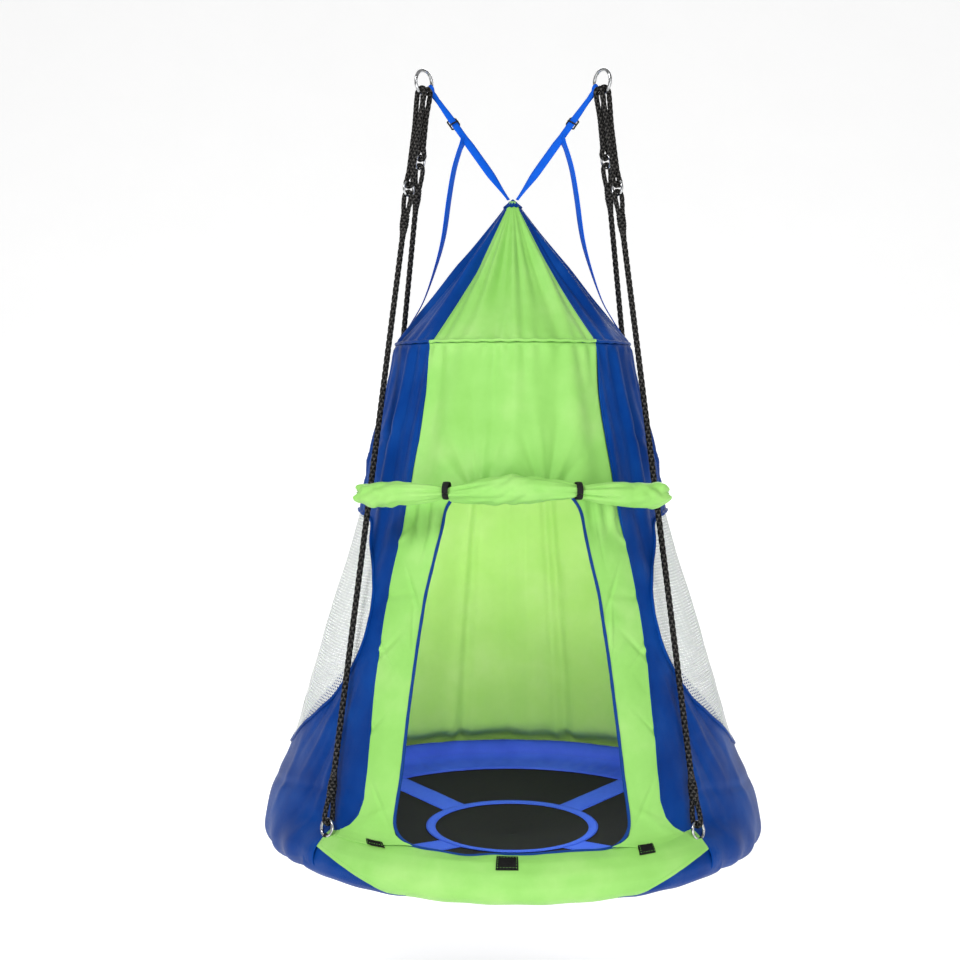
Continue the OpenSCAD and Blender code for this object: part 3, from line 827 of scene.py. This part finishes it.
# ---------------------------------------------------------------- roof
def roof_pt(az, t, off=0.0):
    r = 0.007 + t * (0.236 - 0.007)
    z = -0.240 - t * 0.288
    seamd = np.abs(np.sin(2 * (az - 0)))
    sag = -0.006 * np.sin(pi * t) ** 1.0
    x = np.cos(az * 0)
    ple = (0.0050 * np.sin(az * 13 + 0.6) + 0.0032 * np.sin(az * 23 + 2.1) + 0.0018 * np.sin(az * 37 + 1.0)) * np.sin(pi * np.clip(t * 0.92 + 0.04, 0, 1)) ** 0.8
    gath = 0.0024 * np.sin(az * 46 + 1.2 * np.sin(az * 9)) * np.exp(-((1 - t) / 0.14)) * np.clip((1 - t) / 0.02, 0, 1)
    n = 0.0012 * vnoise(az * 0.3, t * 0.3, 8, 0.05) * np.sin(pi * t)
    w = sag + (ple + n) * np.clip(t * 2.2, 0, 1) + gath + off
    sl = math.hypot(0.229, 0.288)
    nr, nz = 0.288 / sl, 0.229 / sl
    r, z = r + nr * w, z + nz * w
    return np.stack([r * np.sin(az), -r * np.cos(az), z], -1)


def roof_panel(name, a0, a1, mat, node):
    n = 150
    az = np.radians(np.linspace(a0, a1, n))
    t = np.linspace(0, 1, 110)
    AZ, T_ = np.meshgrid(az, t, indexing="ij")
    P = roof_pt(AZ, T_)
    uv = np.stack([AZ * 0.2 * (0.3 + T_), T_ * 0.36], -1).reshape(-1, 2)
    ob = add(name, P.reshape(-1, 3), grid(P)[:, ::-1], mat, uvs=uv, solid=TH, off=1.0)
    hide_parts(node)


roof_panel("roof_cloth_front", -41.5, 41.5, LIME, "roof_front")
roof_panel("roof_cloth_rear", 138.5, 221.5, LIME, "roof_rear")
roof_panel("roof_cloth_right", 41.5, 138.5, BLUE, "roof_right")
roof_panel("roof_cloth_left", 221.5, 318.5, BLUE, "roof_left")
# apex patch: a small gathered tuft of blue cloth
th = np.linspace(0, 2 * pi, 72, endpoint=False)
rr = np.linspace(0.0005, 0.019, 14)
A2, R2 = np.meshgrid(th, rr, indexing="ij")
Pz = -0.2345 - 0.9 * R2 + 0.0012 * np.sin(A2 * 12) * (R2 / 0.019)
P = np.stack([R2 * np.sin(A2), -R2 * np.cos(A2), Pz], -1)
ob = add("apex_cap", P.reshape(-1, 3), grid(P, True, False), BLUE, uvs=np.stack([A2 * .02, R2], -1).reshape(-1, 2), solid=0.0015)
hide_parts("apex_patch")

# ---------------------------------------------------------------- seams: welts and stitches
weltL, weltB, stL, stB = [], [], [], []


def stitches(pts, store, pitch=0.0052, ln=0.0034, r=0.00045, nrm_off=0.0):
    P, s, L = resample(pts, pitch)
    T = np.gradient(P, axis=0)
    T /= np.linalg.norm(T, axis=1)[:, None]
    for p, t in zip(P, T):
        a = unit(np.cross(t, [0, 0, 1]) if abs(t[2]) < .9 else np.cross(t, [1, 0, 0]))
        b = np.cross(t, a)
        e0, e1 = p - t * ln / 2, p + t * ln / 2
        v = np.array([e0, p + a * r, p + b * r, p - a * r, p - b * r, e1])
        store.append((v, [(0, 2, 1), (0, 3, 2), (0, 4, 3), (0, 1, 4), (5, 1, 2), (5, 2, 3), (5, 3, 4), (5, 4, 1)], np.zeros((6, 2))))


for sgn in (-1, 1):
    for base_a, kind in ((0.0, "jamb"), (pi, "rear")):
        v = np.linspace(0.0, 0.905 if base_a == 0 else 1.04, 220)
        ab = az_b(v)
        az = base_a + sgn * ab
        weltB.append(tube(surf(az, v, "side" if base_a == 0 else "rear", 0.0008), 0.0019, ns=8, ds=0.008))
        for d, st in ((-0.008, stL), (0.008, stB)):
            sgn2 = sgn if base_a == 0 else sgn
            stitches(surf(az + sgn2 * d, v, ("front" if base_a == 0 else "rear") if d < 0 else "side", 0.0009), st)
    t = np.linspace(0.06, 1.0, 90)
    for a0 in (41.5, 138.5):
        az = np.full(90, math.radians(a0 * sgn))
        weltB.append(tube(roof_pt(az, t, 0.0008), 0.0017, ns=8, ds=0.008))
        for d in (-0.030, 0.030):
            stitches(roof_pt(az + d / np.maximum(t, .25) * 0.6, t, 0.0010), stL if (d * sgn < 0) == (a0 < 90) else stB)
# shoulder welt all round
az = np.linspace(0, 2 * pi, 260, endpoint=False)
sh = np.stack([0.2378 * np.sin(az), -0.2378 * np.cos(az), np.full(260, -0.5285) + 0.0008 * np.sin(az * 46)], -1)
b = tube(sh, 0.0030, ns=8, ds=0.006, closed=True)
ar_ = np.degrees(az)
lim = (ar_ < 41.8) | (ar_ > 318.2) | ((ar_ > 138.2) & (ar_ < 221.8))
add("shoulder_seam_blue", b[0] * V(.9995, .9995, 1), b[1], BLUE, uvs=b[2])
for c0 in (0.0, pi):
    az = np.linspace(c0 - math.radians(41.6), c0 + math.radians(41.6), 90)
    p = np.stack([0.2384 * np.sin(az), -0.2384 * np.cos(az), np.full(90, -0.5285) + 0.0008 * np.sin(az * 46)], -1)
    weltL.append(tube(p, 0.0033, ns=8, ds=0.006))
    stitches(surf(az, np.full(90, 0.012), "front", 0.0010), stL)
for nm_, st, mt, sl in (("seam_welts_blue", weltB, BLUE, "tent_blue"), ("seam_welts_lime", weltL, LIME, "tent_lime"), ("stitches_lime", stL, STITCH_L, "tent_lime"), ("stitches_blue", stB, STITCH_B, "tent_blue")):
    v, f, uv = merge(st)
    add(nm_, v, f, mt, uvs=uv)

# ---------------------------------------------------------------- front apron and door binding
AP_R = np.array([.452, .463, .479, .4965, .5065, .5040, .491, .478])
AP_Z = -np.array([1.4335, 1.4370, 1.4435, 1.4600, 1.4820, 1.5030, 1.5145, 1.5180])
AP_S = np.array([0, .012, .029, .054, .079, .101, .119, .133])


def apron_pt(az, s, off=0.0):
    k = 0.006
    r = sum(w * np.interp(s + o * k, AP_S, AP_R) for o, w in ((-1, .25), (0, .5), (1, .25)))
    z = sum(w * np.interp(s + o * k, AP_S, AP_Z) for o, w in ((-1, .25), (0, .5), (1, .25)))
    top = np.clip(1 - s / 0.03, 0, 1)
    inn = sstep((math.radians(26) - np.abs(az)) / math.radians(6))
    # the sill sags between the doorway corners
    sagz = -0.0085 * np.exp(-((az + math.radians(10)) / math.radians(5.0)) ** 2) - 0.0015 * np.sin(az * 17 + 1)
    z = z + top * inn * (sagz - 0.003)
    endl = sstep((np.abs(az) - math.radians(34)) / math.radians(10))
    z = z + endl * top * 0.004
    w = 0.0016 * vnoise(az * 0.48, s, 14, 0.035) + 0.0022 * np.sin(az * 34 + 8 * s) * np.exp(-((s - 0.115) / 0.03) ** 2) + off
    r = r + w * 0.7
    z = z + w * 0.6
    return np.stack([r * np.sin(az), -r * np.cos(az), z], -1)


az = np.radians(np.linspace(-46.3, 46.3, 300))
s_ = np.linspace(0, 0.133, 64)
A3, S3 = np.meshgrid(az, s_, indexing="ij")
# the lower edge runs up towards the ends, so the blue skirt shows under it
S_LOW = np.interp(np.degrees(np.abs(A3)), [0, 20, 25, 29.5, 36, 41, 46.3], [.133, .133, .120, .098, .078, .066, .055])
S3 = S3 * S_LOW / 0.133
P = apron_pt(A3, S3, 0.0012)
ob = add("front_apron_cloth", P.reshape(-1, 3), grid(P), LIME, uvs=np.stack([A3 * .48, S3], -1).reshape(-1, 2), solid=TH, off=0.0)
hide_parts("front_apron")
for sg, nm in ((-1, "left"), (1, "right")):  # blue skirt carried on under the apron
    au = np.radians(np.linspace(22, 50.5, 90)) * sg
    A6, S6 = np.meshgrid(au, np.linspace(0.006, 0.133, 60), indexing="ij")
    cut = np.interp(np.degrees(np.abs(A6)), [22, 26, 34, 40], [.112, .118, .131, .133])
    Pu = apron_pt(A6, S6 * cut / 0.133, -0.0030)
    add("skirt_underlap_" + nm, Pu.reshape(-1, 3), grid(Pu), BLUE, uvs=np.stack([A6 * .48, S6], -1).reshape(-1, 2), solid=0.0012, off=0.0)
    # the same at the back, where the skirt runs under the rear hem
    A7 = np.radians(34 + (np.degrees(np.abs(A6)) - 22) * 16.5 / 28.5) * sg
    Pr = (apron_pt(A7, S6, -0.0050) * V(1, -1, 1))[::-1]
    add("skirt_underlap_rear_" + nm, Pr.reshape(-1, 3), grid(Pr), BLUE, uvs=np.stack([A7 * .48, S6], -1).reshape(-1, 2), solid=0.0012, off=0.0)
pp = apron_pt(np.radians(np.linspace(-46.2, 46.2, 220)), np.full(220, 0.129 - 0.0), 0.002)
# hem stitches along the apron's lower edge and ends
stA = []
hem_a = np.radians(np.linspace(-45, 45, 260))
hem_s = np.interp(np.degrees(np.abs(hem_a)), [0, 20, 25, 29.5, 36, 41, 46.3], [.133, .133, .120, .098, .078, .066, .055]) - 0.007
stitches(apron_pt(hem_a, hem_s, 0.0026), stA)
for sg in (-1, 1):
    stitches(apron_pt(np.full(30, sg * math.radians(45.4)), np.linspace(0.004, 0.046, 30), 0.0026), stA)
v, f, uv = merge(stA)
add("apron_stitches", v, f, STITCH_L, uvs=uv)

# doorway binding: one loop down the left edge, along the sill, up the right edge
vv = np.linspace(0.288, 0.902, 150)
left = surf(-az_d(vv), vv, "jamb", 0.0006)
right = surf(az_d(vv), vv, "jamb", 0.0006)[::-1]
azs = np.radians(np.linspace(-24.8, 24.8, 120))
sill = apron_pt(azs, np.full(120, 0.0008), 0.0016)
path = np.vstack([left, sill, right])
kern = 5
path = np.vstack([path[:1].repeat(kern, 0), path, path[-1:].repeat(kern, 0)])
path = np.stack([np.convolve(path[:, k], np.ones(2 * kern + 1) / (2 * kern + 1), "valid") for k in range(3)], -1)
b = tube(path, 0.0031, ns=10, ds=0.005, disp=lambda S, T_, L: 1 + 0.05 * np.sin(S * 2 * pi / 0.0045))
ob = add("doorway_binding", b[0], b[1], TRIM, uvs=b[2])
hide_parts("door_trim")


# hook-and-loop patches
def patch(azc, wdeg, s0, s1, rot=0.0, up=0.0):
    n, m = 14, 12
    t, q = np.meshgrid(np.linspace(-1, 1, n), np.linspace(0, 1, m), indexing="ij")
    a = math.radians(azc) + np.radians(wdeg / 2) * t + math.radians(rot) * (q - .5)
    s = s0 + (s1 - s0) * q
    top = apron_pt(a, s, 0.0042 + up)
    bot = apron_pt(a, s, 0.0018)
    v = np.vstack([top.reshape(-1, 3), bot.reshape(-1, 3)])
    f = list(map(tuple, grid(top))) + [tuple(x[::-1]) for x in grid(bot, base=n * m)]
    rim_ = [i * m for i in range(n)] + [(n - 1) * m + j for j in range(1, m)] + [i * m + m - 1 for i in range(n - 2, -1, -1)] + [j for j in range(m - 2, 0, -1)]
    for i in range(len(rim_)):
        a_, b_ = rim_[i], rim_[(i + 1) % len(rim_)]
        f.append((b_, a_, a_ + n * m, b_ + n * m))
    # little hooks
    parts_ = [(v, f, np.zeros((len(v), 2)))]
    r = np.random.RandomState(int(azc * 10) + 700)
    ta, sa = r.uniform(-.94, .94, 420), r.uniform(.05, .95, 420)
    pa = apron_pt(math.radians(azc) + np.radians(wdeg / 2) * ta + math.radians(rot) * (sa - .5), s0 + (s1 - s0) * sa, 0.0042 + up)
    for p in pa:
        d = V(r.uniform(-.5, .5), r.uniform(-.9, .1), 1)
        d = unit(d) * 0.0011
        o = unit(np.cross(d, [1, 0.3, 0])) * 0.0004
        o2 = unit(np.cross(d, o)) * 0.0004
        vv_ = np.array([p + o, p - o * .5 + o2, p - o * .5 - o2, p + d])
        parts_.append((vv_, [(0, 1, 3), (1, 2, 3), (2, 0, 3), (0, 2, 1)], np.zeros((4, 2))))
    return merge(parts_)


v, f, uv = merge([patch(-32.4, 4.6, -0.004, 0.022, 3.0, 0.0034), patch(-1.0, 4.6, 0.010, 0.045), patch(30.6, 4.0, 0.000, 0.034, -1.5)])
ob = add("hook_patch_set", v, f, HOOK, uvs=uv, smooth=False)
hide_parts("hook_patches")
# the pale line of thread that sews each patch down, just inside its edge
stP = []
for azc, wd, s0, s1, rot, up in ((-32.4, 4.6, -0.004, 0.022, 3.0, 0.0034), (-1.0, 4.6, 0.010, 0.045, 0.0, 0.0), (30.6, 4.0, 0.000, 0.034, -1.5, 0.0)):
    for t0, q0, t1, q1 in ((-.84, .12, .84, .12), (.84, .12, .84, .88), (.84, .88, -.84, .88), (-.84, .88, -.84, .12)):
        t, q = np.linspace(t0, t1, 24), np.linspace(q0, q1, 24)
        a = math.radians(azc) + np.radians(wd / 2) * t + math.radians(rot) * (q - .5)
        stitches(apron_pt(a, s0 + (s1 - s0) * q, 0.0054 + up), stP)
v, f, uv = merge(stP)
add("patch_stitches", v, f, STITCH_L, uvs=uv)

# ---------------------------------------------------------------- saucer
# rim cover: cloth over foam with an inner padded flap
nA, prof = 420, []
for t in np.linspace(math.radians(-150), math.radians(168), 40):
    prof.append((SAUCER_R + 0.0243 * math.cos(t), ZF + 0.0243 * math.sin(t)))
prof += [(0.4470, -1.4875), (0.436, -1.4945), (0.420, -1.4972), (0.404, -1.4993), (0.388, -1.5016), (0.3725, -1.5050), (0.377, -1.5059), (0.405, -1.5031), (0.425, -1.5011), (0.445, -1.4992)]
prof = np.array(prof)
az = np.linspace(0, 2 * pi, nA, endpoint=False)
A4, K4 = np.meshgrid(az, np.arange(len(prof)), indexing="ij")
R4, Z4 = prof[K4, 0], prof[K4, 1]
inner = sstep((0.47 - R4) / 0.05)
puck = 0.0010 * np.sin(A4 * 74 + 1.5 * np.sin(A4 * 7)) * inner + 0.0008 * vnoise(A4 * 0.48, R4 + Z4, 17, 0.03)
cx, cz = R4 - SAUCER_R, Z4 - ZF
Z4 = Z4 + np.where(Z4 > -1.5, puck, 0) * (R4 > 0.389)
R4 = R4 + 0.0006 * vnoise(A4 * 0.48, K4 * 0.01, 19, 0.02)
P = np.stack([R4 * np.sin(A4), -R4 * np.cos(A4), Z4], -1)
ob = add("rim_cover_cloth", P.reshape(-1, 3), grid(P, True, True), RIM, uvs=np.stack([A4 * .47, K4 * .006], -1).reshape(-1, 2))
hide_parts("rim_cover")
# seam lines on the cover
st = []
a_ = np.linspace(0, 2 * pi, 700)
stitches(np.stack([0.381 * np.sin(a_), -0.381 * np.cos(a_), np.full(700, -1.5022)], -1), st)
stitches(np.stack([0.447 * np.sin(a_), -0.447 * np.cos(a_), np.full(700, -1.4865)], -1), st)
v, f, uv = merge(st)
add("rim_stitches", v, f, STITCH_B, uvs=uv)

# mat: woven, dished, slightly uneven
MR = 0.4498


def mat_z(r):
    return -1.543 + 0.044 * r / MR


rr = np.linspace(0, MR, 90)
rr[0] = 0.0008
A5, R5 = np.meshgrid(np.linspace(0, 2 * pi, 240, endpoint=False), rr, indexing="ij")
dz = 0.0014 * vnoise(R5 * np.sin(A5), R5 * np.cos(A5), 21, 0.08) * np.clip(R5 / 0.05, 0, 1) * np.clip((MR - R5) / 0.05, 0, 1) * (0.35)
Ptop = np.stack([R5 * np.sin(A5), -R5 * np.cos(A5), mat_z(R5) + dz - 0.0002], -1)
ob = add("seat_mat_weave", Ptop.reshape(-1, 3), grid(Ptop, True, False)[:, ::-1], MAT, uvs=np.stack([R5 * np.sin(A5), R5 * np.cos(A5)], -1).reshape(-1, 2), solid=0.0025, off=-1.0)
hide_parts("seat_mat")


# accent ring and four straps sewn on
def flat_ring(r0, r1, z_off, t):
    n, m = 240, 6
    a, q = np.meshgrid(np.linspace(0, 2 * pi, n, endpoint=False), np.linspace(0, 1, m), indexing="ij")
    r = r0 + (r1 - r0) * q
    edge = 1 - np.abs(2 * q - 1) ** 6
    top = np.stack([r * np.sin(a), -r * np.cos(a), mat_z(r) + z_off + t * (0.55 + 0.45 * edge)], -1)
    bot = np.stack([r * np.sin(a), -r * np.cos(a), mat_z(r) + z_off], -1)
    X = np.concatenate([top, bot[:, ::-1]], 1)
    v = X.reshape(-1, 3)
    return v, list(map(tuple, grid(X, True, True)))[:], np.stack([np.tile(np.r_[q[0], q[0][::-1]] * (r1 - r0), (n, 1)), np.repeat(a[:, :1] * 0.17, 2 * m, 1)], -1).reshape(-1, 2)


v, f, uv = flat_ring(0.1592, 0.1788, 0.0012, 0.0016)
f = [q[::-1] for q in f]
ob = add("accent_ring_webbing", v, f, WEB_RIM, uvs=uv)
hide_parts("accent_ring")
parts = []
for k in range(4):
    a0 = pi / 4 + k * pi / 2
    n, m = 60, 16
    q, s = np.meshgrid(np.linspace(-1, 1, m), np.linspace(0.172, 0.3925, n), indexing="ij")
    x_, y_ = s, q * 0.031 * (1 + 0.0 * s)
    r = np.hypot(x_, y_)
    zt = mat_z(r) + 0.0004
    edge = 1 - np.abs(q) ** 8
    rot = lambda X_, Y_: (X_ * math.cos(a0) - Y_ * math.sin(a0), X_ * math.sin(a0) + Y_ * math.cos(a0))
    gx, gy = rot(x_, y_)
    top = np.stack([gx, gy, zt + 0.0012 * (0.4 + 0.6 * edge) + 0.0004 * vnoise(gx, gy, 40 + k, 0.03)], -1)
    bot = np.stack([gx, gy, zt], -1)
    X = np.concatenate([top, bot[::-1]], 0)
    v = X.reshape(-1, 3)
    ff = [qq[::-1] for qq in map(tuple, grid(X, True, False))]
    parts.append((v, ff, np.stack([np.concatenate([y_, y_[::-1]], 0), np.concatenate([x_, x_[::-1]], 0)], -1).reshape(-1, 2)))
v, f, uv = merge(parts)
ob = add("cross_strap_set", v, f, WEB_RIM, uvs=uv)
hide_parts("cross_straps")
st = []
for r in (0.162, 0.176):
    stitches(np.stack([r * np.sin(a_), -r * np.cos(a_), mat_z(np.full(700, r)) + 0.0029], -1), st, pitch=0.006)
for k in range(4):
    a0 = pi / 4 + k * pi / 2
    for q in (-0.0275, 0.0275):
        s = np.linspace(0.182, 0.385, 40)
        r = np.hypot(s, q)
        stitches(np.stack([s * math.cos(a0) - q * math.sin(a0), s * math.sin(a0) + q * math.cos(a0), mat_z(r) + 0.0018], -1), st, pitch=0.006)
v, f, uv = merge(st)
add("mat_stitches", v, f, STITCH_B, uvs=uv)

# ---------------------------------------------------------------- rolled door flap
RY, RR, RZ = -0.344, 0.600, -0.8085
half = math.radians(28.2)
nx, turns = 420, 2.6
nt_ = int(turns * 60)
al = np.linspace(-half, half, nx)
tq = np.linspace(0, 1, nt_)
AL, TQ = np.meshgrid(al, tq, indexing="ij")
x01 = AL / half
tie_a = math.radians(11.5)


def pinch(a):
    return np.exp(-((np.abs(a) - tie_a) / math.radians(1.15)) ** 2)


dist = np.abs(np.abs(AL) - tie_a) * RR  # along the roll from the nearer tie
inside_ = np.abs(AL) < tie_a
prof_in = 0.0098 + 0.0205 * np.clip(dist / 0.118, 0, 1) ** 0.72
prof_out = 0.0098 + 0.0160 * (1 - np.exp(-(dist / 0.045) ** 1.3))
env = np.where(inside_, prof_in, prof_out)
thr = TQ * turns * 2 * pi + 2.5
base_r = env * (0.22 + 0.78 * TQ)
# creases fan out of the ties at fixed angles round the roll
fan = np.exp(-((dist / 0.085) ** 2)) * np.clip(dist / 0.010, 0, 1)
drift = np.where(inside_, 1.0, -1.0) * dist * 9.0
ridge = np.abs(np.sin(2.5 * thr + drift + 0.7 * np.sign(AL))) ** 0.7 - 0.62
ridge2 = np.abs(np.sin(5.5 * thr - drift * 0.6 + 1.9)) - 0.62
creas = (0.0068 * ridge + 0.0030 * ridge2) * fan * TQ
far = 1 - fan
creas = creas + 0.0040 * TQ * far * vnoise(AL * 0.6 + thr * 0.004, thr * 0.012 - AL * 0.25, 33, 0.020)
creas = creas + 0.0036 * TQ * far * (np.abs(np.sin(3 * thr + AL * 22 + 2.0 * np.sin(AL * 13))) - 0.6)
endz = sstep((np.abs(AL) - math.radians(21.5)) / math.radians(3.0))
frill = 0.0022 * np.sin(AL * 66 + 2.4 * np.sin(thr + 0.4) + 1.1 * np.sin(2.3 * thr)) + 0.0012 * np.sin(AL * 118 + 3 * np.sin(1.4 * thr))
lip = np.clip((1 - np.abs(x01)) / 0.055, 0, 1) ** 0.5
rad = (base_r + creas) * (0.55 + 0.45 * lip) + frill * endz * TQ
ey = rad * np.cos(thr) * 0.95
ez = rad * np.sin(thr) * np.where(inside_, 1.04, 1.0)
x_arc = AL * RR
droop = -0.008 * np.abs(x01) ** 3 + 0.0035 * np.sin(AL * 6 + 0.5) * inside_ + 0.0055 * np.exp(-(x_arc / 0.09) ** 2)
ex = (0.009 * vnoise(thr * 0.06, TQ * 3, 35, 0.2) + 0.004 * np.sin(thr * 4)) * (np.abs(x01) ** 8) * np.sign(x01)
P = np.stack([(RR - ey) * np.sin(AL) + ex, RY + RR - (RR - ey) * np.cos(AL), RZ + ez + droop], -1)
ob = add("door_flap_roll", P.reshape(-1, 3), grid(P), LIME, uvs=np.stack([AL * .6, TQ * 0.4], -1).reshape(-1, 2), solid=0.0013, off=0.0)
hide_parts("door_roll")
# ties: a black webbing loop round the roll at each tie
parts = []
for sg in (-1, 1):
    a = sg * tie_a
    c = V((RR) * math.sin(a), RY + RR - RR * math.cos(a), RZ + 0.003)
    tg = V(math.cos(a), math.sin(a), 0)
    rd = V(math.sin(a), -math.cos(a), 0)
    ring_ = [c + (0.0150 * math.cos(t) * rd + 0.0158 * math.sin(t) * V(0, 0, 1)) for t in np.linspace(-0.3, 2 * pi - 0.35, 50)]
    parts.append(ribbon(np.array(ring_), 0.0115, 0.0016, tg, ds=0.003))
v, f, uv = merge(parts)
ob = add("roll_tie_set", v, f, WEB_K, uvs=uv)
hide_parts("roll_ties")

# ---------------------------------------------------------------- webbing straps
ST_PHI = math.radians(58)
st_top = V(-GAP, 0, 0) + HR * V(math.sin(ST_PHI) * W_L[0], math.sin(ST_PHI) * W_L[1], -math.cos(ST_PHI))
st_tan = V(math.cos(ST_PHI) * W_L[0], math.cos(ST_PHI) * W_L[1], math.sin(ST_PHI))
st_end = V(-0.009, 0, -0.235)
st_dir = unit(st_top - st_end)
st_len = float(np.linalg.norm(st_top - st_end))
nrm = V(-0.55, 0.55, 0.30)
wx = unit(np.cross(nrm, st_dir))
wn = np.cross(st_dir, wx)
BR = [(-103.5, -124), (-110, -142), (-120, -178), (-129.2, -231), (-140.8, -310), (-157.4, -372.4), (-181, -438), (-205, -481), (-226, -516)]
GL = 0.70
for side, nm in ((-1, "left"), (1, "right")):
    m = lambda p: mir(p, side)
    xl = unit(np.cross(st_tan, st_dir))
    # loop round the ring wire, flattening into the strap
    loop = [st_top + 0.0085 * (math.cos(a) * xl + math.sin(a) * st_dir) for a in np.linspace(math.radians(-70), math.radians(250), 30)]
    join = st_top - st_dir * 0.030
    a = ribbon(np.array([m(p) for p in [join] + loop + [join + xl * -0.0008]]), 0.0105, 0.0018, m(st_tan), ds=0.003)
    w0 = m(st_tan)
    w1 = m(wx)
    w2 = unit(V(0.25 * side, 0.9, 0.1))
    seg = np.array([m(p) for p in np.linspace(st_top - st_dir * 0.026, st_end - st_dir * 0.001, 60)])
    wf = lambda t, w0=w0, w1=w1, w2=w2: w0[None] * (1 - sstep(t / 0.22))[:, None] + w1[None] * sstep(t / 0.22)[:, None] * 1.0 + (w2 - w1)[None] * 0.35 * sstep((t - 0.72) / 0.28)[:, None]
    wd = lambda t: 0.0118 + 0.0040 * sstep(t / 0.2) + 0.0032 * sstep((t - 0.36) / 0.1) - 0.0095 * sstep((t - 0.70) / 0.30)
    b = ribbon(seg, wd, 0.0018, wf, ds=0.004)
    v, f, uv = merge([a, b])
    ob = add("main_strap_web_" + nm, v, f, WEB_B, body=None, uvs=uv)
    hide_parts("main_strap_" + nm)
    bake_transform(ob)
    # slack branch
    pts = [st_top - st_dir * 0.115 + V(-0.001, 0, 0)] + [V(x / 1000, 0, z / 1000) for x, z in BR]
    pts[0] = st_end + st_dir * 0.1535 + V(-0.001, -0.001, 0.002)
    pts[-1] = V(-0.2345, 0, -0.5262)
    path = smooth_path(pts, 90)
    wb0 = wx
    wf2 = lambda t, side=side: (m(V(0.45, 0.86, 0.12))[None] * (1 - sstep((t - 0.35) / 0.5))[:, None] + V(0, 1, 0)[None] * sstep((t - 0.35) / 0.5)[:, None])
    v, f, uv = ribbon(np.array([m(p) for p in path]), 0.020, 0.0016, wf2, ds=0.005)
    ob = add("branch_strap_web_" + nm, v, f, WEB_B, uvs=uv)
    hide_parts("branch_strap_" + nm)
    # tri-glide: rounded frame with a centre bar
    c = st_end + st_dir * st_len * GL
    hw, hh = 0.0104, 0.0095
    cr = 0.003
    loop = []
    for cx_, cy_, a0 in ((hw - cr, hh - cr, 0), (-hw + cr, hh - cr, 90), (-hw + cr, -hh + cr, 180), (hw - cr, -hh + cr, 270)):
        for a in np.linspace(a0, a0 + 90, 7):
            px, pz = cx_ + cr * math.cos(math.radians(a)), cy_ + cr * math.sin(math.radians(a))
            lift = 0.0029 * sstep((abs(pz) - 0.005) / 0.003)
            loop.append(m(c + wx * px + st_dir * pz + wn * lift))
    P_, s_2, L_ = resample(np.array(loop), 0.0012, True)
    fr = tube(P_, 0.00175, ns=12, ds=0.0012, closed=True)
    bar = tube(np.array([m(c + wx * x_ + wn * (-0.0029 * (1 - (x_ / 0.0104) ** 8))) for x_ in np.linspace(-0.0104, 0.0104, 24)]), 0.0016, ns=12, ds=0.0015)
    v, f, uv = merge([fr, bar])
    ob = add("tri_glide_buckle_" + nm, v, f, PLAST, body=nm + "_glide", uvs=uv)
    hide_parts("tri_glide_" + nm)

# ---------------------------------------------------------------- CAD nodes kept as they are
KEEP = {"frame_tube_front": TUBE, "frame_tube_rear": TUBE, "tube_joiners": TUBE, "frame_screws": STEEL, "foam_sleeves": FOAM, "shoulder_hoop": PLAST}
for n_, m_ in KEEP.items():
    o = bpy.data.objects.get(n_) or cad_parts.get(n_)
    o = o if hasattr(o, "material_slots") else bpy.data.objects.get(n_)
    if not o.material_slots:
        o.data.materials.append(m_)
    for s in o.material_slots:
        s.material = m_

# ---------------------------------------------------------------- studio
floor_z = -1.90
me = bpy.data.meshes.new("floor")
n = 24
X, Y = np.meshgrid(np.linspace(-9, 9, n), np.linspace(-6, 9, n), indexing="ij")
Zf = floor_z + 9.0 * np.clip((Y - 2.2) / 6.8, 0, 1) ** 1.7
me.from_pydata(np.stack([X, Y, Zf], -1).reshape(-1, 3).tolist(), [], grid(np.stack([X, Y, Zf], -1)).tolist())
me.polygons.foreach_set("use_smooth", [True] * len(me.polygons))
fl = bpy.data.objects.new("floor", me)
bpy.context.scene.collection.objects.link(fl)
fm, fnt, fb = new_mat("floor_paper")
ftc = fnt.nodes.new("ShaderNodeTexCoord")
link(fnt, ramp(fnt, noise(fnt, ftc.outputs["Object"], 3.0), [(0.3, (0.78, 0.78, 0.78)), (0.7, (0.80, 0.80, 0.80))]), fb.inputs["Base Color"])
fb.inputs["Roughness"].default_value = 0.95
fb.inputs["Specular IOR Level"].default_value = 0.0
fb.inputs["Emission Color"].default_value = (1, 1, 1, 1)
fb.inputs["Emission Strength"].default_value = 0.55
me.materials.append(fm)

world = bpy.data.worlds.new("w")
bpy.context.scene.world = world
world.use_nodes = True
bg = world.node_tree.nodes["Background"]
bg.inputs[0].default_value = (1, 1, 1, 1)
bg.inputs[1].default_value = 0.35


def area(name, loc, target, size, power, hidden=False):
    d = bpy.data.lights.new(name, "AREA")
    d.energy = power
    d.size = size
    o = bpy.data.objects.new(name, d)
    bpy.context.scene.collection.objects.link(o)
    o.location = loc
    o.rotation_euler = (Vector(target) - Vector(loc)).to_track_quat("-Z", "Y").to_euler()
    if hidden:
        o.visible_camera = False


area("key", (-2.0, -2.5, 2.0), (0, 0, -0.7), 1.2, 92)
area("fill", (2.6, -3.0, -0.2), (0, 0, -0.9), 2.2, 34)
area("back", (0.3, 3.0, 1.4), (0, 0, -0.9), 2.0, 60)
area("front_low", (0.2, -3.2, -1.1), (0, 0, -1.1), 1.6, 22)
area("inner_top", (0, -0.06, -0.72), (0, 0.10, -1.45), 0.22, 0.7, True)
area("inner_front", (0, -0.26, -1.06), (0, 0.42, -1.42), 0.20, 3.0, True)
bpy.context.scene.view_settings.view_transform = "Standard"
